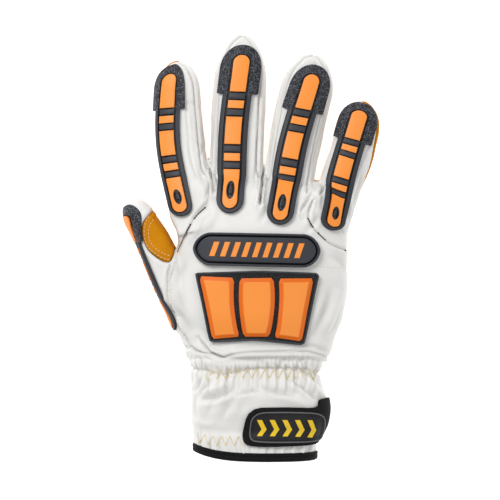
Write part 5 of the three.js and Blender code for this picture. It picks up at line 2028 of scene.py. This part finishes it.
class Graph:
    """Node tree of one material, round its Principled shader."""

    def __init__(self, name: str) -> None:
        """Starts a material with a plain Principled shader."""
        self.material = bpy.data.materials.new(name)
        self.material.use_nodes = True
        self.tree = self.material.node_tree
        self.shader = next(n for n in self.tree.nodes if n.type == "BSDF_PRINCIPLED")

    def feed(self, socket: bpy.types.NodeSocket, value: object) -> None:
        """Links a wire to a socket, or sets a plain value on it."""
        if isinstance(value, Wire):
            self.tree.links.new(value.socket, socket)
        else:
            socket.default_value = value

    def node(
        self, kind: str, settings: dict[str, object] | None = None, output: int | str = 0, **inputs: object
    ) -> Wire:
        """Adds any node.

        Args:
            kind: Blender's type of the node.
            settings: Its settings, set before its inputs.
            output: Which output to return.
            inputs: Values or wires by input name, with _ for a space.

        Returns:
            The output.
        """
        node = self.tree.nodes.new(kind)
        for name, value in (settings or {}).items():
            setattr(node, name, value)
        for name, value in inputs.items():
            self.feed(node.inputs[name.replace("_", " ")], value)
        return Wire(self, node.outputs[output])

    def place(self) -> Wire:
        """Object coordinates, in metres."""
        return self.node("ShaderNodeTexCoord", output="Object")

    def value(self, name: str) -> Wire:
        """A number kept at the points of the mesh."""
        return self.node("ShaderNodeAttribute", {"attribute_name": name}, "Fac")

    def noise(self, scale: float, detail: float = 2.0, roughness: float = 0.5) -> Wire:
        """Soft noise over the object."""
        settings = {"Vector": self.place(), "Scale": scale, "Detail": detail, "Roughness": roughness}
        return self.node("ShaderNodeTexNoise", None, "Fac", **settings)

    def cells(self, scale: float) -> Wire:
        """Distance in a pattern of cells over the object."""
        return self.node("ShaderNodeTexVoronoi", None, "Distance", Vector=self.place(), Scale=scale)

    def blend(self, share: object, first: object, second: object) -> Wire:
        """Colour between two colours or wires."""
        node = self.tree.nodes.new("ShaderNodeMix")
        node.data_type = "RGBA"
        self.feed(node.inputs[0], share)
        for socket, value in ((node.inputs[6], first), (node.inputs[7], second)):
            self.feed(socket, value if isinstance(value, Wire) else (*value, 1.0))
        return Wire(self, node.outputs[2])

    def bump(self, height: Wire, strength: float, distance: float) -> Wire:
        """Normal from a height in metres."""
        return self.node("ShaderNodeBump", None, "Normal", Height=height, Strength=strength, Distance=distance)

    def finish(self, **inputs: object) -> bpy.types.Material:
        """Feeds the shader and returns the material."""
        for name, value in inputs.items():
            socket = self.shader.inputs[name.replace("_", " ")]
            plain = isinstance(value, tuple) and len(value) == 3
            self.feed(socket, (*value, 1.0) if plain else value)
        return self.material


Colour = tuple[float, float, float]


@dataclass(frozen=True)
class LeatherFinish:
    """Grain leather, darkened towards its shade colour in seam grooves and fold valleys as painted shade."""

    name: str
    light: Colour
    dark: Colour
    shade: Colour
    roughness: float
    gloss: float

    def make(self) -> bpy.types.Material:
        """Makes the material."""
        graph = Graph(self.name)
        seam, crease = graph.value("seam"), graph.value("crease")
        blotch = graph.noise(38, 3).over(0.5, 0.5)
        skin = graph.blend(blotch, self.light, self.dark)
        # Painted shade in the seam grooves and fold valleys
        depth = seam * 0.4 + crease * 0.35
        colour = graph.blend(depth.math("MINIMUM", depth, 1.0), skin, self.shade)
        pores = graph.cells(1150) * 0.6 + graph.noise(420, 3) * 0.5
        normal = graph.bump(pores * 0.00016, 0.5, 1.0)
        rough = graph.noise(160, 2) * 0.16 + (self.roughness - 0.08)
        return graph.finish(Base_Color=colour, Roughness=rough, Normal=normal, Specular_IOR_Level=self.gloss)


@dataclass(frozen=True)
class RubberFinish:
    """Moulded rubber that is darker where it is low, as painted shade in its hollows and on its bevels, and flecked
    where it is granular.
    """

    name: str
    low: Colour
    high: Colour
    fleck: Colour
    edge: tuple[float, float]
    roughness: float
    speckle: float

    def make(self) -> bpy.types.Material:
        """Makes the material."""
        graph = Graph(self.name)
        # Painted shade: low relief takes the low colour, raised faces the high colour
        relief = graph.value("relief").over(*self.edge)
        colour = graph.blend(relief, self.low, self.high)
        grain = graph.cells(1500)
        height = graph.noise(500, 3) * 0.00006
        if self.speckle:
            grainy = graph.value("grain")
            colour = graph.blend(grainy * 0.7, colour, self.low)
            flecks = (1 - grain.over(0.36, 0.3)) * grainy * graph.noise(1000, 2).over(0.47, 0.14)
            colour = graph.blend(flecks * self.speckle, colour, self.fleck)
            height = height - grain * grainy * 0.00022
        normal = graph.bump(height, 0.7, 2.0)
        return graph.finish(Base_Color=colour, Roughness=self.roughness, Normal=normal, Specular_IOR_Level=0.3)


@dataclass(frozen=True)
class WeaveFinish:
    """Woven tape."""

    name: str
    colour: Colour
    roughness: float

    def make(self) -> bpy.types.Material:
        """Makes the material."""
        graph = Graph(self.name)
        bands = {"wave_type": "BANDS", "bands_direction": "X"}
        rib = graph.node("ShaderNodeTexWave", bands, "Fac", Vector=graph.place(), Scale=420.0, Distortion=1.2)
        fuzz = graph.noise(1400, 2)
        height = rib * 0.00012 + fuzz * 0.0001
        light = tuple(min(1.0, value * 2.6 + 0.003) for value in self.colour)
        colour = graph.blend(fuzz.over(0.5, 0.5), self.colour, light)
        normal = graph.bump(height, 0.6, 1.0)
        return graph.finish(Base_Color=colour, Roughness=self.roughness, Normal=normal, Specular_IOR_Level=0.15)


@dataclass(frozen=True)
class PlainFinish:
    """Thread, print or any other plain thing."""

    name: str
    colour: Colour
    roughness: float

    def make(self) -> bpy.types.Material:
        """Makes the material."""
        graph = Graph(self.name)
        tint = tuple(value * 0.8 for value in self.colour)
        return graph.finish(Base_Color=graph.blend(graph.noise(600, 2), self.colour, tint), Roughness=self.roughness)


PEARL = LeatherFinish("pearl_leather_look", (0.86, 0.852, 0.83), (0.8, 0.792, 0.768), (0.42, 0.405, 0.37), 0.55, 0.25)
GOLD = LeatherFinish("gold_leather_look", (0.68, 0.27, 0.004), (0.52, 0.18, 0.002), (0.12, 0.035, 0.002), 0.7, 0.08)
# The low colour of each rubber is painted shade for its hollows and bevels; the high colour is for its raised faces
DARK = RubberFinish(
    "dark_rubber_look", (0.0015, 0.0015, 0.002), (0.038, 0.041, 0.05), (0.27, 0.29, 0.34), (0.5, 0.5), 0.5, 0.9
)
ORANGE = RubberFinish(
    "orange_rubber_look", (0.82, 0.155, 0.008), (0.97, 0.31, 0.05), (1, 1, 1), (0.88, 0.16), 0.45, 0
)
LABEL = RubberFinish(
    "label_rubber_look", (0.012, 0.012, 0.014), (0.12, 0.12, 0.125), (1, 1, 1), (0.92, 0.12), 0.5, 0
)
BINDING = WeaveFinish("binding_look", (0.003, 0.003, 0.0035), 0.75)
STRAP = WeaveFinish("strap_look", (0.004, 0.004, 0.0045), 0.8)
THREAD = PlainFinish("pale_thread_look", (0.86, 0.7, 0.4), 0.6)
BLACK_THREAD = PlainFinish("black_thread_look", (0.012, 0.012, 0.013), 0.6)
PRINT = PlainFinish("yellow_print_look", (1.0, 0.66, 0.01), 0.45)


class Studio:
    """Pale floor, soft light and the camera straight above."""

    def build(self) -> None:
        """Sets the floor, lights, camera and view up."""
        scene = bpy.context.scene
        scene.view_settings.view_transform = "Standard"
        world = bpy.data.worlds.new("studio")
        world.use_nodes = True
        background = world.node_tree.nodes["Background"]
        background.inputs["Color"].default_value = (1, 1, 1, 1)
        background.inputs["Strength"].default_value = 0.34
        scene.world = world
        self.light("key", (-0.34, 0.42, 0.75), 0.4, 5.3)
        self.light("fill", (0.5, -0.2, 0.8), 0.7, 2.0)
        self.floor()
        self.camera()

    def light(self, name: str, place: tuple[float, float, float], size: float, power: float) -> None:
        """A square lamp that looks at the glove."""
        data = bpy.data.lights.new(name, "AREA")
        data.size, data.energy = size, power
        lamp = bpy.data.objects.new(name, data)
        lamp.location = place
        lamp.rotation_euler = (-Vector(place)).to_track_quat("-Z", "Y").to_euler()
        bpy.context.scene.collection.objects.link(lamp)

    def floor(self) -> None:
        """White ground under the glove."""
        size = 2.0
        corners = [(-size, -size, 0), (size, -size, 0), (size, size, 0), (-size, size, 0)]
        floor = mesh_piece("floor", corners, [(0, 1, 2, 3)], 1.0)
        graph = Graph("floor_look")
        pale, white = (0.9, 0.9, 0.9), (1.0, 1.0, 1.0)
        look = graph.finish(Base_Color=pale, Roughness=0.9, Emission_Color=white, Emission_Strength=0.9)
        floor.data.materials.append(look)

    def camera(self) -> None:
        """Camera straight above, framed as the photograph."""
        data = bpy.data.cameras.new("camera")
        data.type = "ORTHO"
        data.ortho_scale = 2 * MIDDLE_PIXEL * PIXEL * MM
        camera = bpy.data.objects.new("camera", data)
        camera.location = (0, 0, 0.8)
        bpy.context.scene.collection.objects.link(camera)
        bpy.context.scene.camera = camera


class Glove:
    """The whole glove: builds every piece, dresses it and ties it to the frame."""

    def __init__(self) -> None:
        """Makes the materials."""
        finishes = (PEARL, GOLD, DARK, ORANGE, LABEL, BINDING, STRAP, THREAD, BLACK_THREAD, PRINT)
        self.look = {finish.name: finish.make() for finish in finishes}
        self.form = Form()
        self.seams = Seams.read()
        self.bench = Bench()

    def add(self, piece: bpy.types.Object, slot: Slot, finish: object, nodes: Sequence[str] = ()) -> None:
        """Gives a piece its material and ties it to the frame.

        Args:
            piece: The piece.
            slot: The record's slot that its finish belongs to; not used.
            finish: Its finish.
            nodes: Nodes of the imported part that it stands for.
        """
        piece.data.materials.clear()
        piece.data.materials.append(self.look[finish.name])
        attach(piece, "root")
        if nodes:
            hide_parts(*nodes)
        LOG.info("%s: %d faces", piece.name, len(piece.data.polygons))

    def build_leather(self) -> Leather:
        """Cuts, folds and finishes the leather."""
        leather = Leather(self.seams, self.form)
        leather.refine()
        stands_for = {
            "palm_leather": (Slot.GOLD, ("palm_panel", "index_front", "middle_front", "ring_front", "little_front")),
            "hand_back_leather": (Slot.PEARL, ("hand_back", "middle_back", "ring_back")),
            "index_back_leather": (Slot.PEARL, ("index_back",)),
            "little_back_leather": (Slot.PEARL, ("little_back",)),
            "index_fourchette": (Slot.PEARL, ("fourchette_index_middle",)),
            "middle_fourchette": (Slot.PEARL, ("fourchette_middle_ring",)),
            "ring_fourchette": (Slot.PEARL, ("fourchette_ring_little",)),
            "cuff_back_leather": (Slot.PEARL, ("cuff_back",)),
            "cuff_palm_leather": (Slot.PEARL, ("cuff_palm",)),
            "thumb_back_leather": (Slot.PEARL, ("thumb_back",)),
            "thumb_palm_leather": (Slot.GOLD, ("thumb_palm",)),
        }
        for panel in leather.cut() + leather.thumb_panels():
            leather.finish(panel)
            slot, nodes = stands_for[panel.name]
            self.add(panel, slot, GOLD if slot is Slot.GOLD else PEARL, nodes)
        return leather

    def build_guards(self, leather: Leather) -> None:
        """Lays the moulded guards, the shield and the strap."""
        beds = Beds(leather, self.form)
        guards = FingerGuards(self.bench).build(beds, leather)
        for name, piece in guards.items():
            finger, kind = name.split("_")
            if kind == "guard":
                self.add(piece, Slot.DARK, DARK, (f"{finger}_guard",))
            else:
                nodes = [f"{finger}_block_{part}" for part in ("tip", "upper", "middle", "lower", "base")]
                self.add(piece, Slot.ORANGE, ORANGE, nodes)
        back = BackGuards(self.bench, beds.back())
        self.add(back.bar(), Slot.DARK, DARK, ("knuckle_guard",))
        self.add(back.bars(), Slot.ORANGE, ORANGE)
        self.add(back.shield(), Slot.DARK, DARK, ("shield_frame",))
        for pad in back.pads():
            self.add(pad, Slot.ORANGE, ORANGE, (pad.name.replace("_rubber", ""),))
        strap = Strap(self.bench, beds.cuff())
        self.add(strap.strap(), Slot.STRAP, STRAP, ("wrist_strap",))
        self.add(strap.label(), Slot.LABEL, LABEL, ("strap_label",))
        self.add(strap.chevrons(), Slot.LABEL, PRINT)
        self.add(Binding(self.form, self.seams).build(), Slot.BINDING, BINDING, ("cuff_binding",))

    def build_stitches(self) -> None:
        """Sews the visible seams."""
        sewing = Stitching(tree_of(*(piece for piece in bpy.data.objects if piece.name.endswith("_leather"))))

        def line(pixels: Sequence[tuple[float, float]]) -> np.ndarray:
            """Smooth line through pixels, in millimetres."""
            return resampled(photo_points(table("px py", pixels)), 40)

        zigzags = {
            "wrist_zigzag": ([(203.5, 377), (215, 374.5), (245, 373.5), (290, 374), (318, 375)], 5.35, 6.4, 0.27),
            "cuff_zigzag": ([(196, 437), (208, 440), (222, 441), (243, 441)], 5.0, 6.0, 0.24),
        }
        wavy = [sewing.zigzag(name, line(pixels), *sizes) for name, (pixels, *sizes) in zigzags.items()]
        patch = [(149, 216.5), (144.8, 224), (144.4, 237), (148.5, 247), (155, 253.5), (164, 258.6), (171, 260)]
        inner = [(153.4, 219.5), (149.2, 226.5), (148.6, 236.5), (152, 244.6), (157.5, 250), (165, 254.2)]
        inner.append((171, 255.6))
        rows = {
            "patch_stitch_outer": (patch, 2.1, 0.62, 0.2),
            "patch_stitch_inner": (inner, 2.1, 0.62, 0.2),
            "knuckle_stitch": ([(310, 267.2), (322, 267), (333, 267.4), (343, 268.5)], 1.9, 0.35, 0.17),
            "index_stitch": ([(184.2, 234.4), (180.3, 242), (177.4, 250), (174.5, 261)], 1.9, 0.5, 0.15),
            "left_hem_stitch": ([(171.5, 284), (171, 298), (172.8, 312), (178, 326), (186, 338)], 2.2, 0.5, 0.15),
        }
        for name, (pixels, *sizes) in rows.items():
            self.add(sewing.run(name, line(pixels), *sizes), Slot.PEARL, THREAD)
        for piece in wavy:
            self.add(piece, Slot.PEARL, THREAD)
        welt = [(174.3, 261), (169.9, 276), (168.6, 288), (169, 298), (172.3, 310), (178, 323), (184, 334)]
        welt.append((189, 348))
        self.add(sewing.run("thumb_welt", line(welt), 1.5, 1.0, 0.55, -0.1), Slot.PEARL, PEARL)
        cords = {
            "index_cord": ([(205.8, 207), (198, 214.2), (190.3, 224.7), (185.3, 233.8)], 0.46),
            "index_cord_end": ([(185.3, 233.8), (180.8, 243.9), (177.2, 252)], 0.28),
            "little_cord": ([(307.4, 217.6), (312.5, 226.6), (319.4, 234.4)], 0.42),
            "little_cord_end": ([(319.4, 234.4), (328, 242.1), (336.6, 246.8), (347, 251)], 0.34),
        }
        for name, (pixels, radius) in cords.items():
            self.add(sewing.run(name, line(pixels), 1.7, 1.0, radius, -0.05), Slot.BINDING, BLACK_THREAD)


def main() -> None:
    """Builds the glove and its studio."""
    logging.basicConfig(level=logging.INFO, format="%(message)s")
    glove = Glove()
    leather = glove.build_leather()
    glove.build_guards(leather)
    glove.build_stitches()
    for form in (leather.skin, leather.thumb_skin):
        bpy.data.objects.remove(form)
    Studio().build()


if __name__ == "__main__":
    main()
